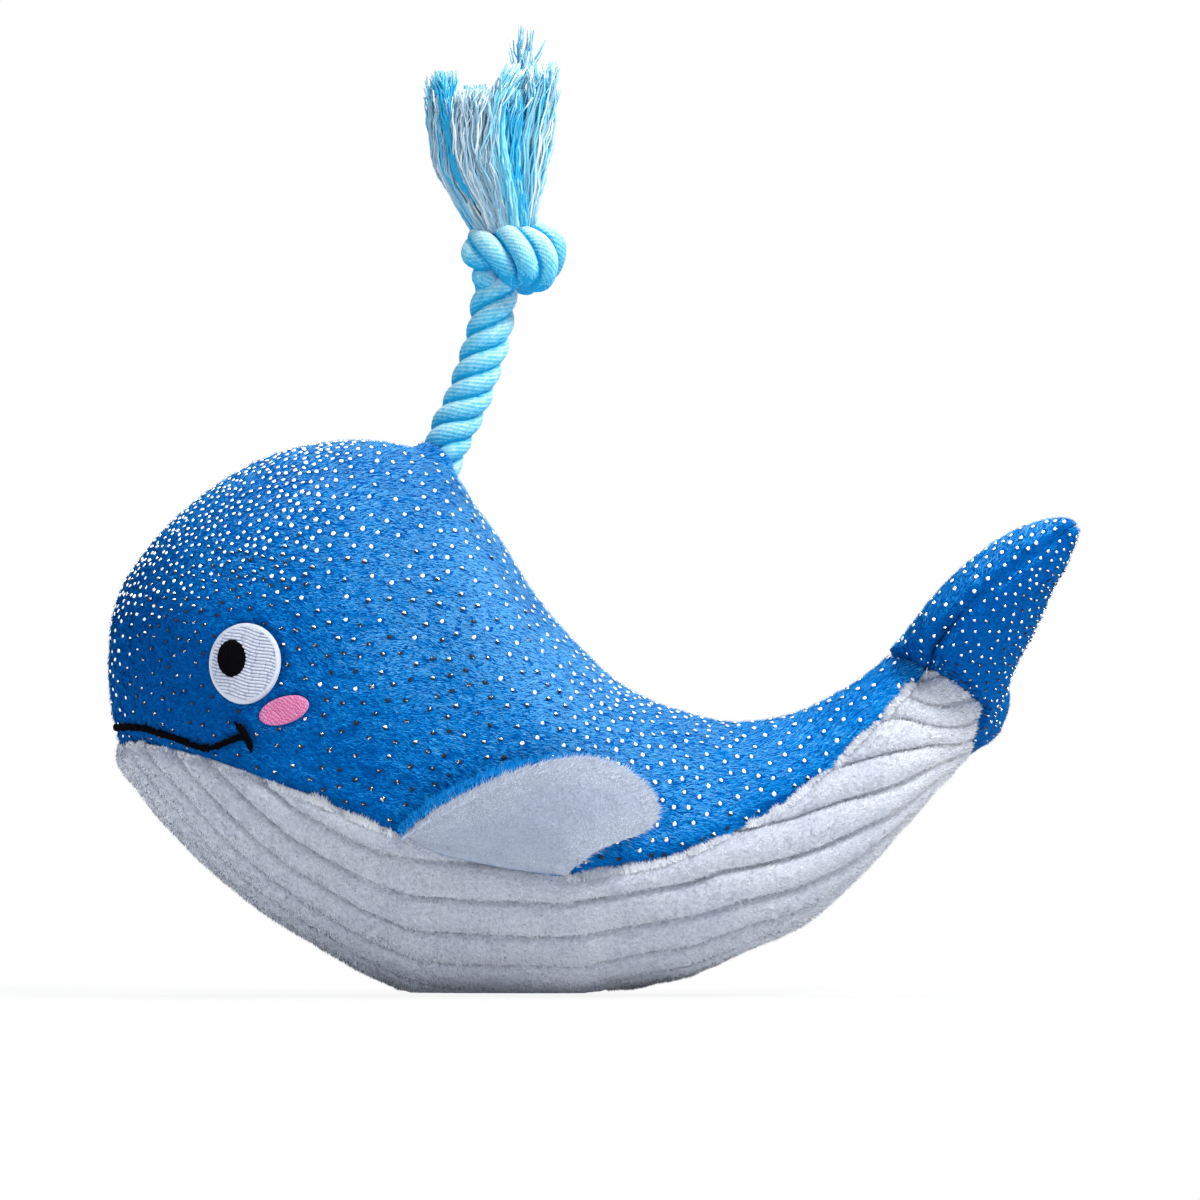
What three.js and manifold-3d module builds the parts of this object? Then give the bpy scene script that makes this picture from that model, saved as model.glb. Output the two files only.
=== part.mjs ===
// Plush whale with a rope spout: fabric panels over loose filling, sewn fins, a flexing fluke and a
// knotted rope. Millimetres, +Z up, head towards -X, the whale's left side towards -Y. The origin is
// on the flat patch of belly that it rests on, below the thickest part of the body.
import * as THREE from 'three';
import { mergeVertices } from 'three/addons/utils/BufferGeometryUtils.js';
import Module from 'manifold-3d';

const wasm = await Module();
wasm.setup();

// Driving dimensions
const bodyLength = 251;
const bodyHeight = 159;
const bodyWidth = 98;
const skinThickness = 2.5;
const flukeSpan = 114;
const flukeReach = 51;
const finLength = 70;
const finHeight = 30;
const finRootLength = 48.4;
const ropeDiameter = 12.7;
const eyeWidth = 20.5;
const eyeHeight = 23;

// Clearances
const seamGap = 0.3;
const fillGap = 0.3;
const cutOverrun = 4;
const meshTolerance = 0.02;

// Body outline. Each row is one section of the body, from the nose to past the end of the tail: the
// place of its back point and its belly point along and up the body, its width, where the seam
// between blue and white lies in degrees down from the back, how far the section is rolled in
// degrees, and how far it has swayed to the far side.
const bodySectionShares = [
  [-0.475, 0.461, -0.475, 0.455, 0.01, 107, 0, 0],
  [-0.480, 0.526, -0.468, 0.398, 0.14, 107, 0, 0],
  [-0.480, 0.625, -0.450, 0.361, 0.33, 107, 0, 0],
  [-0.473, 0.702, -0.427, 0.317, 0.48, 107, 0, 0],
  [-0.450, 0.778, -0.393, 0.262, 0.64, 106.5, 0, 0],
  [-0.410, 0.854, -0.348, 0.195, 0.80, 106, 0, 0],
  [-0.353, 0.922, -0.291, 0.125, 0.91, 107, 0, 0],
  [-0.285, 0.978, -0.228, 0.058, 0.97, 108.5, 0, 0],
  [-0.216, 0.997, -0.165, 0.008, 1.00, 110.5, 0, 0],
  [-0.148, 0.987, -0.103, -0.011, 1.00, 113.5, 0, 0],
  [-0.089, 0.945, -0.046, -0.018, 0.99, 115.5, 0, 0],
  [-0.048, 0.854, 0.011, -0.020, 0.97, 114, 0, 0],
  [-0.006, 0.747, 0.063, -0.015, 0.94, 111.5, 0, 0],
  [0.040, 0.648, 0.125, 0.002, 0.89, 106, 0, 0],
  [0.085, 0.578, 0.188, 0.033, 0.83, 102, 0, 0],
  [0.131, 0.533, 0.251, 0.076, 0.76, 98, 1, 0],
  [0.182, 0.505, 0.308, 0.118, 0.67, 93, 3, 0.005],
  [0.239, 0.485, 0.359, 0.179, 0.60, 91, 7, 0.015],
  [0.297, 0.496, 0.404, 0.254, 0.54, 90, 13, 0.031],
  [0.350, 0.534, 0.448, 0.340, 0.49, 93, 20, 0.056],
  [0.388, 0.570, 0.479, 0.403, 0.46, 97, 26, 0.087],
  [0.414, 0.601, 0.502, 0.447, 0.44, 100, 31, 0.112],
  [0.450, 0.657, 0.533, 0.506, 0.44, 102, 33, 0.160],
];
const sectionFullness = 2.25;
const noseShare = 0.012;
const bodySteps = 28;
const beltSteps = 16;
const backSteps = 7;
const roundSides = 16;

// Places on the body, along it and up it
const eyePlaceShares = [-0.325, 0.593];
const cheekPlaceShares = [-0.279, 0.508];
const blowholePlaceShares = [-0.095, 0.944];
const squeakerPlaceShares = [-0.06, 0.40];
const finRootStationShare = 0.395;

// Embroidery
const threadHeight = 0.8;
const pupilHeight = 0.6;
const pupilWidth = 8.2;
const pupilTallness = 10.6;
const pupilForward = 3.6;
const pupilRaise = 1.3;
const cheekWidth = 14;
const cheekHeight = 8;
const cheekTilt = 16;
const mouthWidth = 1.8;
const mouthLineShares = [
  [-0.318, 0.440], [-0.331, 0.462], [-0.344, 0.458], [-0.358, 0.447], [-0.372, 0.438],
  [-0.386, 0.441], [-0.405, 0.455], [-0.424, 0.466], [-0.441, 0.474], [-0.459, 0.477],
];
const mouthTickShares = [[-0.337, 0.490], [-0.329, 0.479], [-0.326, 0.463], [-0.322, 0.449], [-0.318, 0.440]];
const mouthFrontShare = 0.476;
const mouthSteps = 14;
const tickSteps = 5;

// Fluke: its lobes sweep out from the tail in one flat plane, whose directions these are.
const flukeTail = new THREE.Vector3(0.738, 0.47, 0.482).normalize();
const flukeSpanGuess = new THREE.Vector3(0.184, -0.831, 0.525);
const flukeNormal = new THREE.Vector3().crossVectors(flukeSpanGuess, flukeTail).normalize();
const flukeAcross = new THREE.Vector3().crossVectors(flukeTail, flukeNormal).normalize();
const flukeRootStationShare = 0.9545;
const flukeJointRadius = 22;
const flukeRootSetback = 11.4;
const flukeJointGap = 0.35;
// How far the hollow in the fluke's root reaches along the joint's axis, to the far and the near side
const flukeSocketFar = 28.2;
const flukeSocketNear = 22.2;
const lobeRootWidth = 40;
const lobeRootThickness = 37;
// Each row is one section of a lobe: its place across the span, back from the joint and arched up
// out of the plane, then its half width and its half thickness.
const lobeSectionShares = [
  [0.03, 0.04, 0.000, 0.96, 0.96],
  [0.08, 0.21, 0.005, 0.96, 0.95],
  [0.18, 0.34, 0.025, 0.97, 0.92],
  [0.34, 0.44, 0.047, 0.93, 0.85],
  [0.55, 0.63, 0.069, 0.80, 0.73],
  [0.76, 0.82, 0.078, 0.52, 0.53],
  [0.90, 0.94, 0.050, 0.30, 0.34],
  [1.00, 1.00, 0.016, 0.10, 0.12],
];
const lobeSides = 16;
const lobeSteps = 12;

// Fins
const finLayerThickness = 2.4;
const finLayerGap = 0.3;
const finRootClearance = 0.45;
const finTipLift = 4;
// The fin's free edge from the front of its root to the rear, along the root and up from it
const finEdgeShares = [
  [-0.03, 0.05], [0.09, 0.34], [0.23, 0.64], [0.38, 0.84], [0.57, 0.99], [0.78, 0.96],
  [0.91, 0.86], [0.97, 0.69], [0.955, 0.51],
];
const finSteps = 16;
const finRows = 5;

// Rope spout: the route's points are places of the rope's middle line, from the blowhole up.
const ropeRoute = [
  [0, 0, 0], [0.9, 0, 7.9], [5.9, 0, 19.4], [9.8, 0, 30.8], [12.3, 0, 39.4], [13.8, 0, 50],
];
const ropeHoleClearance = 1.5;
const ropeSides = 10;
const ropeSteps = 9;
const anchorDepth = 16;
const anchorKnotDiameter = 22;
const knotWidth = 29.7;
const knotHeight = 20;
const knotDepth = 24;
const knotForward = 5.5;
const knotSeat = 0.3;
const tasselHeight = 43.5;
const tasselWidth = 39;
const tasselDepthShare = 0.62;
const tasselForward = 4.7;
const tasselLean = 1.7;
// Tassel outline from the knot up: height, half width
const tasselShares = [[0, 0.58], [0.24, 0.75], [0.39, 0.88], [0.55, 0.95], [0.8, 1], [0.93, 0.95], [1, 0.8]];

// Squeaker
const squeakerDiameter = 38;
const squeakerHeight = 25;
const squeakerWall = 1;
const reedDiameter = 12;
const reedLength = 8;
const reedSlot = 1.5;
const reedFlange = 2.4;

const degrees = Math.PI / 180;
const up = new THREE.Vector3(0, 0, 1);
const far = new THREE.Vector3(0, 1, 0);

// A row between the rows of a table, smooth through all of them
function rowBetween(rows, share) {
  const last = rows.length - 1;
  const place = Math.min(Math.max(share, 0), 1) * last;
  const i = Math.min(Math.floor(place), last - 1);
  const t = place - i;
  const four = [rows[Math.max(i - 1, 0)], rows[i], rows[i + 1], rows[Math.min(i + 2, last)]];
  return rows[0].map((unused, c) => {
    const [a, b, d, e] = four.map((row) => row[c]);
    const linear = t * (d - a) + t * t * (2 * a - 5 * b + 4 * d - e);
    return b + 0.5 * (linear + t * t * t * (3 * b - a - 3 * d + e));
  });
}

function bodySection(share) {
  const row = rowBetween(bodySectionShares, share);
  const back = new THREE.Vector3(row[0] * bodyLength, 0, row[1] * bodyHeight);
  const belly = new THREE.Vector3(row[2] * bodyLength, 0, row[3] * bodyHeight);
  const middle = back.clone().add(belly).multiplyScalar(0.5).addScaledVector(far, row[7] * bodyWidth);
  const rise = back.clone().sub(belly);
  const halfHeight = rise.length() / 2;
  rise.normalize();
  const roll = row[6] * degrees;
  const backward = rise.clone().multiplyScalar(Math.cos(roll)).addScaledVector(far, Math.sin(roll));
  const near = far.clone().multiplyScalar(-Math.cos(roll)).addScaledVector(rise, Math.sin(roll));
  return {
    middle, backward, near, halfHeight, halfWidth: Math.max(row[4], 0) * bodyWidth / 2,
    seam: row[5] * degrees, rise, back, belly,
  };
}

function signedPower(value, power) {
  return Math.sign(value) * Math.pow(Math.abs(value), power);
}

// A point of the body's surface. The angle runs from the back down the near side.
function rawBodyPoint(share, angle) {
  const s = bodySection(share);
  const power = 2 / sectionFullness;
  return s.middle.clone()
    .addScaledVector(s.backward, s.halfHeight * signedPower(Math.cos(angle), power))
    .addScaledVector(s.near, s.halfWidth * signedPower(Math.sin(angle), power));
}

function bodyNormal(share, angle) {
  const du = 0.002;
  const da = 0.01;
  const along = rawBodyPoint(Math.min(share + du, 1), angle).sub(rawBodyPoint(share - du, angle));
  const round = rawBodyPoint(share, angle + da).sub(rawBodyPoint(share, angle - da));
  return round.cross(along).normalize();
}

function bodyPoint(share, angle, lift = 0) {
  const point = rawBodyPoint(share, angle).addScaledVector(bodyNormal(share, angle), lift);
  point.z = Math.max(point.z, -Math.min(lift, 0));
  return point;
}

// The place on the body's near or far side that lies over a point of the middle plane
function sidePlace(x, z, side) {
  let low = 0;
  let high = 1;
  for (let i = 0; i < 40; i += 1) {
    const share = (low + high) / 2;
    const s = bodySection(share);
    const past = (x - s.belly.x) * s.rise.z - (z - s.belly.z) * s.rise.x;
    if (past > 0) low = share; else high = share;
  }
  const share = (low + high) / 2;
  const s = bodySection(share);
  const height = ((x - s.middle.x) * s.rise.x + (z - s.middle.z) * s.rise.z) / s.halfHeight;
  const limited = Math.min(Math.max(height, -1), 1);
  const angle = Math.acos(signedPower(limited, sectionFullness / 2));
  return { share, angle: side * angle, reach: Math.abs(rawBodyPoint(share, angle).y) };
}

// Meshes and solids
function indexed(points, faces) {
  const geometry = new THREE.BufferGeometry();
  const numbers = points.flatMap((p) => [p.x, p.y, p.z]);
  geometry.setAttribute('position', new THREE.Float32BufferAttribute(numbers, 3));
  let volume = 0;
  for (const [a, b, c] of faces) {
    volume += points[a].dot(new THREE.Vector3().crossVectors(points[b], points[c]));
  }
  geometry.setIndex((volume < 0 ? faces.map(([a, b, c]) => [a, c, b]) : faces).flat());
  return geometry;
}

function toSolid(geometry) {
  const plain = geometry.clone();
  plain.deleteAttribute('normal');
  plain.deleteAttribute('uv');
  const merged = mergeVertices(plain, 1e-4);
  return new wasm.Manifold(new wasm.Mesh({
    numProp: 3,
    vertProperties: new Float32Array(merged.attributes.position.array),
    triVerts: new Uint32Array(merged.index.array),
  }));
}

// The slivers that a cut leaves at its edges are dropped, so that a part is one solid.
function toGeometry(solid) {
  const pieces = solid.decompose().sort((a, b) => b.volume() - a.volume());
  const mesh = pieces[0].simplify(meshTolerance).getMesh();
  const geometry = new THREE.BufferGeometry();
  geometry.setAttribute('position', new THREE.Float32BufferAttribute(mesh.vertProperties, mesh.numProp));
  geometry.setIndex(Array.from(mesh.triVerts));
  return geometry;
}

// A closed patch of fabric: outer and inner points on a grid, joined round their edge
function patch(columns, rows, outerAt, innerAt) {
  const points = [];
  const faces = [];
  for (const at of [outerAt, innerAt]) {
    for (let i = 0; i <= columns; i += 1) {
      for (let j = 0; j <= rows; j += 1) points.push(at(i / columns, j / rows));
    }
  }
  const layer = (columns + 1) * (rows + 1);
  const id = (i, j, k) => k * layer + i * (rows + 1) + j;
  const quad = (a, b, c, d) => faces.push([a, b, c], [a, c, d]);
  for (let i = 0; i < columns; i += 1) {
    for (let j = 0; j < rows; j += 1) {
      quad(id(i, j, 0), id(i + 1, j, 0), id(i + 1, j + 1, 0), id(i, j + 1, 0));
      quad(id(i, j, 1), id(i, j + 1, 1), id(i + 1, j + 1, 1), id(i + 1, j, 1));
    }
    quad(id(i, 0, 0), id(i, 0, 1), id(i + 1, 0, 1), id(i + 1, 0, 0));
    quad(id(i, rows, 0), id(i + 1, rows, 0), id(i + 1, rows, 1), id(i, rows, 1));
  }
  for (let j = 0; j < rows; j += 1) {
    quad(id(0, j, 0), id(0, j + 1, 0), id(0, j + 1, 1), id(0, j, 1));
    quad(id(columns, j, 0), id(columns, j, 1), id(columns, j + 1, 1), id(columns, j + 1, 0));
  }
  return indexed(points, faces);
}

// A closed form through rings of points, with a flat fan at each end
function ringForm(rings) {
  const sides = rings[0].length;
  const points = rings.flat();
  const faces = [];
  for (let i = 0; i + 1 < rings.length; i += 1) {
    for (let j = 0; j < sides; j += 1) {
      const k = (j + 1) % sides;
      faces.push([i * sides + j, (i + 1) * sides + j, (i + 1) * sides + k]);
      faces.push([i * sides + j, (i + 1) * sides + k, i * sides + k]);
    }
  }
  const middle = (ring) => ring.reduce((sum, p) => sum.add(p), new THREE.Vector3()).divideScalar(sides);
  const first = points.push(middle(rings[0])) - 1;
  const last = points.push(middle(rings[rings.length - 1])) - 1;
  const base = (rings.length - 1) * sides;
  for (let j = 0; j < sides; j += 1) {
    const k = (j + 1) % sides;
    faces.push([first, j, k], [last, base + k, base + j]);
  }
  return indexed(points, faces);
}

function cylinder(radius, length, from, direction, sides = roundSides) {
  const geometry = new THREE.CylinderGeometry(radius, radius, length, sides);
  geometry.translate(0, length / 2, 0);
  geometry.applyQuaternion(new THREE.Quaternion().setFromUnitVectors(far, direction));
  geometry.translate(from.x, from.y, from.z);
  return geometry;
}

function ball(widths, place) {
  const geometry = new THREE.SphereGeometry(1, roundSides, roundSides / 2);
  geometry.scale(widths[0] / 2, widths[1] / 2, widths[2] / 2);
  geometry.translate(place.x, place.y, place.z);
  return geometry;
}

// Fluke joint: the body ends in a round face about the joint's axis, and the fluke wraps that face.
const flukeRoot = bodySection(flukeRootStationShare).middle;
const flukePivot = flukeRoot.clone().addScaledVector(flukeTail, -flukeRootSetback);

function flukePlace(across, back, out) {
  return flukePivot.clone().addScaledVector(flukeAcross, across)
    .addScaledVector(flukeTail, back).addScaledVector(flukeNormal, out);
}

// All that lies behind the joint and outside a cylinder about its axis
function beyondJoint(radius) {
  const size = bodyHeight;
  const outline = new THREE.Shape();
  outline.moveTo(0, radius);
  outline.lineTo(0, size);
  outline.lineTo(size, size);
  outline.lineTo(size, -size);
  outline.lineTo(0, -size);
  outline.lineTo(0, -radius);
  outline.absarc(0, 0, radius, -Math.PI / 2, Math.PI / 2, false);
  const block = new THREE.ExtrudeGeometry(outline, { depth: size, bevelEnabled: false, curveSegments: roundSides });
  block.translate(0, 0, -size / 2);
  const frame = new THREE.Matrix4().makeBasis(flukeTail, flukeNormal, flukeTail.clone().cross(flukeNormal));
  block.applyMatrix4(frame.setPosition(flukePivot));
  return toSolid(block);
}

const blowhole = new THREE.Vector3(
  blowholePlaceShares[0] * bodyLength, 0, blowholePlaceShares[1] * bodyHeight,
);
const ropeRadius = ropeDiameter / 2;

function ropeHole(radius) {
  const reach = anchorDepth + cutOverrun;
  return toSolid(cylinder(radius, 2 * reach, blowhole.clone().addScaledVector(up, -reach), up));
}

function stationShare(i) {
  return noseShare + (1 - noseShare) * i;
}

function bodyPanel(fromAngle, toAngle, steps) {
  const at = (lift) => (i, j) => {
    const share = stationShare(i);
    const s = bodySection(share);
    const size = (s.halfHeight + s.halfWidth) / 2;
    const edge = seamGap / 2 / size;
    const from = fromAngle(s) + edge;
    const to = toAngle(s) - edge;
    return bodyPoint(share, from + (to - from) * j, lift);
  };
  const panel = toSolid(patch(bodySteps, steps, at(0), at(-skinThickness)));
  return panel.subtract(beyondJoint(flukeJointRadius)).subtract(ropeHole(ropeRadius + ropeHoleClearance));
}

// The filling has its points under those of the panels, so that the gap to them is even.
function bodyFill() {
  const rings = [];
  const depth = -(skinThickness + fillGap);
  for (let i = 0; i <= bodySteps; i += 1) {
    const share = stationShare(i / bodySteps);
    const { seam } = bodySection(share);
    const ring = [];
    const addArc = (from, to, steps) => {
      for (let j = 0; j < steps; j += 1) ring.push(bodyPoint(share, from + (to - from) * j / steps, depth));
    };
    addArc(0, seam, backSteps);
    addArc(seam, 2 * Math.PI - seam, beltSteps);
    addArc(2 * Math.PI - seam, 2 * Math.PI, backSteps);
    rings.push(ring);
  }
  return toSolid(ringForm(rings)).subtract(beyondJoint(flukeJointRadius));
}

// Squeaker: a hollow bulb lying flat, with its reed in the neck that points at the belly
const squeakerPlace = new THREE.Vector3(
  squeakerPlaceShares[0] * bodyLength, 0, squeakerPlaceShares[1] * bodyHeight,
);
const neckRadius = reedDiameter / 2 + fillGap;

function bulbProfile(grow) {
  const points = [];
  const steps = 7;
  const halfHeight = squeakerHeight / 2 + grow;
  const radius = squeakerDiameter / 2 + grow;
  const neck = Math.asin(neckRadius / radius);
  for (let i = 0; i <= steps; i += 1) {
    const angle = neck + (Math.PI - neck) * i / steps;
    points.push([radius * Math.sin(angle), -halfHeight * Math.cos(angle)]);
  }
  points[steps][0] = 0;
  return points;
}

function squeakerRound(profile) {
  const geometry = new THREE.LatheGeometry(profile.map(([r, z]) => new THREE.Vector2(r, z)), roundSides);
  geometry.rotateX(Math.PI / 2);
  geometry.translate(squeakerPlace.x, squeakerPlace.y, squeakerPlace.z);
  return toSolid(geometry);
}

function squeakerBulb() {
  const outer = bulbProfile(0);
  return squeakerRound([...outer, ...bulbProfile(-squeakerWall).reverse(), outer[0]]);
}

function squeakerReed() {
  const top = squeakerPlace.clone().addScaledVector(up, -squeakerHeight / 2 + reedLength / 2);
  const plug = toSolid(cylinder(reedDiameter / 2, reedLength, top, up.clone().negate()));
  const flangeTop = squeakerPlace.clone().addScaledVector(up, -squeakerHeight / 2 - fillGap);
  const flange = cylinder(reedDiameter / 2 + reedFlange, reedFlange, flangeTop, up.clone().negate());
  const slot = new THREE.BoxGeometry(reedDiameter / 2, reedSlot, squeakerHeight);
  slot.translate(squeakerPlace.x, 0, squeakerPlace.z - squeakerHeight / 2);
  return plug.add(toSolid(flange)).subtract(toSolid(slot));
}

// The pocket in the filling, open to the belly so that air and sound get out
function squeakerPocket() {
  const room = bulbProfile(fillGap);
  const channelRadius = reedDiameter / 2 + reedFlange + fillGap;
  const channel = cylinder(channelRadius, bodyHeight, squeakerPlace, up.clone().negate());
  return squeakerRound([[0, room[0][1]], ...room]).add(toSolid(channel));
}

// Rope anchor: the rope runs on inside the filling and ends in a stopper knot.
const anchorTop = blowhole.clone().addScaledVector(up, -ropeRadius - fillGap - seamGap);

function ropeAnchor(grow) {
  const stem = cylinder(ropeRadius + grow, anchorDepth, anchorTop, up.clone().negate());
  const place = anchorTop.clone().addScaledVector(up, -anchorDepth);
  const width = anchorKnotDiameter + 2 * grow;
  return toSolid(stem).add(toSolid(ball([width, width, width], place)));
}

// Embroidery: an oval of thread laid on the skin
function oval(x, z, width, height, tilt, side, lift, thickness) {
  const sides = roundSides;
  const rings = 2;
  const turn = tilt * degrees;
  const at = (ring, step, raise) => {
    const angle = 2 * Math.PI * step / sides;
    const a = width / 2 * ring / rings * Math.cos(angle);
    const b = height / 2 * ring / rings * Math.sin(angle);
    const dx = a * Math.cos(turn) - b * Math.sin(turn);
    const dz = a * Math.sin(turn) + b * Math.cos(turn);
    const place = sidePlace(x + dx, z + dz, side);
    return bodyPoint(place.share, place.angle, raise);
  };
  const points = [at(0, 0, lift + thickness), at(0, 0, lift)];
  for (let ring = 1; ring <= rings; ring += 1) {
    for (const raise of [lift + thickness, lift]) {
      for (let step = 0; step < sides; step += 1) points.push(at(ring, step, raise));
    }
  }
  const id = (ring, layer, step) => 2 + ((ring - 1) * 2 + layer) * sides + (step % sides);
  const faces = [];
  for (let step = 0; step < sides; step += 1) {
    faces.push([0, id(1, 0, step), id(1, 0, step + 1)]);
    faces.push([1, id(1, 1, step + 1), id(1, 1, step)]);
    for (let ring = 1; ring < rings; ring += 1) {
      for (const layer of [0, 1]) {
        const a = id(ring, layer, step);
        const b = id(ring + 1, layer, step);
        const c = id(ring + 1, layer, step + 1);
        const d = id(ring, layer, step + 1);
        if (layer === 0) faces.push([a, b, c], [a, c, d]); else faces.push([a, c, b], [a, d, c]);
      }
    }
    const a = id(rings, 0, step);
    const b = id(rings, 0, step + 1);
    const c = id(rings, 1, step + 1);
    const d = id(rings, 1, step);
    faces.push([a, d, c], [a, c, b]);
  }
  return indexed(points, faces);
}

// Mouth: one line of satin stitch from cheek to cheek round the front of the head, with a tick at
// each corner
function stitchedLine(places) {
  const curve = places.map(({ share, angle }) => ({
    point: bodyPoint(share, angle, fillGap), normal: bodyNormal(share, angle),
  }));
  const rings = curve.map(({ point, normal }, i) => {
    const next = curve[Math.min(i + 1, curve.length - 1)].point;
    const previous = curve[Math.max(i - 1, 0)].point;
    const across = next.clone().sub(previous).cross(normal).normalize().multiplyScalar(mouthWidth / 2);
    const top = normal.clone().multiplyScalar(threadHeight);
    return [
      point.clone().sub(across), point.clone().add(across),
      point.clone().add(across).add(top), point.clone().sub(across).add(top),
    ];
  });
  return toSolid(ringForm(rings));
}

function mouthSide(shares, side, steps) {
  const places = [];
  for (let i = 0; i <= steps; i += 1) {
    const [x, z] = rowBetween(shares, i / steps);
    places.push(sidePlace(x * bodyLength, z * bodyHeight, side));
  }
  return places;
}

function mouthStitching() {
  const left = mouthSide(mouthLineShares, 1, mouthSteps);
  const right = mouthSide(mouthLineShares, -1, mouthSteps).reverse();
  const corner = left[left.length - 1].angle;
  const front = [];
  for (let i = 1; i < mouthSteps; i += 1) {
    const angle = corner * (1 - 2 * i / mouthSteps);
    let low = 0;
    let high = 0.3;
    for (let k = 0; k < 30; k += 1) {
      const share = (low + high) / 2;
      if (rawBodyPoint(share, angle).z < mouthFrontShare * bodyHeight) low = share; else high = share;
    }
    front.push({ share: low, angle });
  }
  let mouth = stitchedLine([...left, ...front, ...right]);
  for (const side of [1, -1]) mouth = mouth.add(stitchedLine(mouthSide(mouthTickShares, side, tickSteps)));
  return mouth;
}

// Fins: two layers of fabric, sewn in along the seam and folded up against the body's side
function seamPoint(share) {
  return rawBodyPoint(share, bodySection(share).seam);
}

const finFront = seamPoint(finRootStationShare);
let finRearStation = finRootStationShare;
while (seamPoint(finRearStation).distanceTo(finFront) < finRootLength && finRearStation < 1) {
  finRearStation += 0.0005;
}
const finRear = seamPoint(finRearStation);
const finAlong = finRear.clone().sub(finFront).setY(0).normalize();
const finUp = new THREE.Vector3(-finAlong.z, 0, finAlong.x);
const finHalfThickness = finLayerThickness + finLayerGap / 2;
let finAxisReach = 0;
for (let i = 0; i <= finSteps; i += 1) {
  const root = finFront.clone().lerp(finRear, i / finSteps);
  finAxisReach = Math.max(finAxisReach, sidePlace(root.x, root.z, 1).reach);
}
finAxisReach += finHalfThickness + finRootClearance;

function finLayer(side, inner, outer) {
  const at = (offset) => (i, j) => {
    const root = finFront.clone().lerp(finRear, i);
    const edgeShares = rowBetween(finEdgeShares, i);
    const edge = finFront.clone().addScaledVector(finAlong, edgeShares[0] * finLength)
      .addScaledVector(finUp, edgeShares[1] * finHeight);
    const place = root.clone().lerp(edge, j);
    const reach = (p) => sidePlace(p.x, p.z, 1).reach + finHalfThickness + finRootClearance;
    const straighten = (finAxisReach - reach(root)) * (1 - j) * (1 - j);
    const thin = 1 - 0.45 * Math.pow(Math.abs(2 * i - 1), 6) - 0.3 * Math.pow(j, 6);
    const lift = reach(place) + straighten + finTipLift * j * j + offset * thin;
    return new THREE.Vector3(place.x, -side * lift, place.z);
  };
  return toSolid(patch(finSteps, finRows, at(outer), at(inner)));
}

// Fluke: two plump lobes that grow out of the tail
function lobe(side, inset) {
  const rings = [];
  const steps = lobeSteps;
  for (let i = 0; i <= steps; i += 1) {
    const row = rowBetween(lobeSectionShares, i / steps);
    const ahead = rowBetween(lobeSectionShares, Math.min(i / steps + 0.02, 1));
    const behind = rowBetween(lobeSectionShares, Math.max(i / steps - 0.02, 0));
    const place = (r) => flukePlace(side * r[0] * flukeSpan / 2, r[1] * flukeReach, r[2] * flukeReach);
    const along = place(ahead).sub(place(behind)).normalize();
    const across = along.clone().cross(flukeNormal).normalize();
    const middle = place(row).addScaledVector(along, -inset * Math.pow(i / steps, 4));
    const halfWidth = Math.max(row[3] * lobeRootWidth / 2 - inset, inset / 4);
    const halfThickness = Math.max(row[4] * lobeRootThickness / 2 - inset, inset / 4);
    const ring = [];
    for (let j = 0; j < lobeSides; j += 1) {
      const angle = 2 * Math.PI * (j + 0.5) / lobeSides;
      ring.push(middle.clone().addScaledVector(across, halfWidth * Math.cos(angle))
        .addScaledVector(flukeNormal, halfThickness * Math.sin(angle)));
    }
    rings.push(ring);
  }
  return toSolid(ringForm(rings));
}

function flukeLobes(inset) {
  return lobe(1, inset).add(lobe(-1, inset));
}

// The hollow root that wraps the round end of the body
function cutFlukeRoot(solid) {
  const radius = flukeJointRadius + flukeJointGap;
  const from = flukePlace(-flukeSocketFar, 0, 0);
  const core = cylinder(radius, flukeSocketFar + flukeSocketNear, from, flukeAcross, 2 * roundSides);
  const size = flukeSpan;
  const front = new THREE.BoxGeometry(size, size, size);
  const frame = new THREE.Matrix4().makeBasis(flukeTail, flukeNormal, flukeTail.clone().cross(flukeNormal));
  front.translate(-size / 2, 0, 0);
  front.applyMatrix4(frame.setPosition(flukePivot));
  return solid.subtract(toSolid(core)).subtract(toSolid(front));
}

// One side of the fluke's flat seam plane
function seamSide(sign) {
  const size = 2 * flukeSpan;
  const block = new THREE.BoxGeometry(size, size, size);
  block.translate(0, sign * (size / 2 + seamGap / 2), 0);
  const frame = new THREE.Matrix4().makeBasis(flukeTail, flukeNormal, flukeTail.clone().cross(flukeNormal));
  block.applyMatrix4(frame.setPosition(flukePivot));
  return toSolid(block);
}

// Rope spout
function ropeSpout() {
  const points = ropeRoute.map((p) => new THREE.Vector3(...p).add(blowhole));
  const route = new THREE.CatmullRomCurve3(points);
  const section = new THREE.Shape();
  for (let i = 0; i < ropeSides; i += 1) {
    const angle = 2 * Math.PI * i / ropeSides;
    const x = ropeRadius * Math.cos(angle);
    const y = ropeRadius * Math.sin(angle);
    if (i === 0) section.moveTo(x, y); else section.lineTo(x, y);
  }
  const tube = new THREE.ExtrudeGeometry(section, { steps: ropeSteps, extrudePath: route, bevelEnabled: false });
  return toSolid(tube).add(toSolid(ball([ropeDiameter, ropeDiameter, ropeDiameter], blowhole)));
}

const ropeTop = new THREE.Vector3(...ropeRoute[ropeRoute.length - 1]).add(blowhole);
const knotPlace = ropeTop.clone().add(new THREE.Vector3(knotForward, 0, knotHeight / 2 - knotSeat));
const tasselBase = knotPlace.clone().addScaledVector(up, knotHeight / 2 + fillGap);

function ropeKnot() {
  return ball([knotWidth, knotDepth, knotHeight], knotPlace);
}

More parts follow.
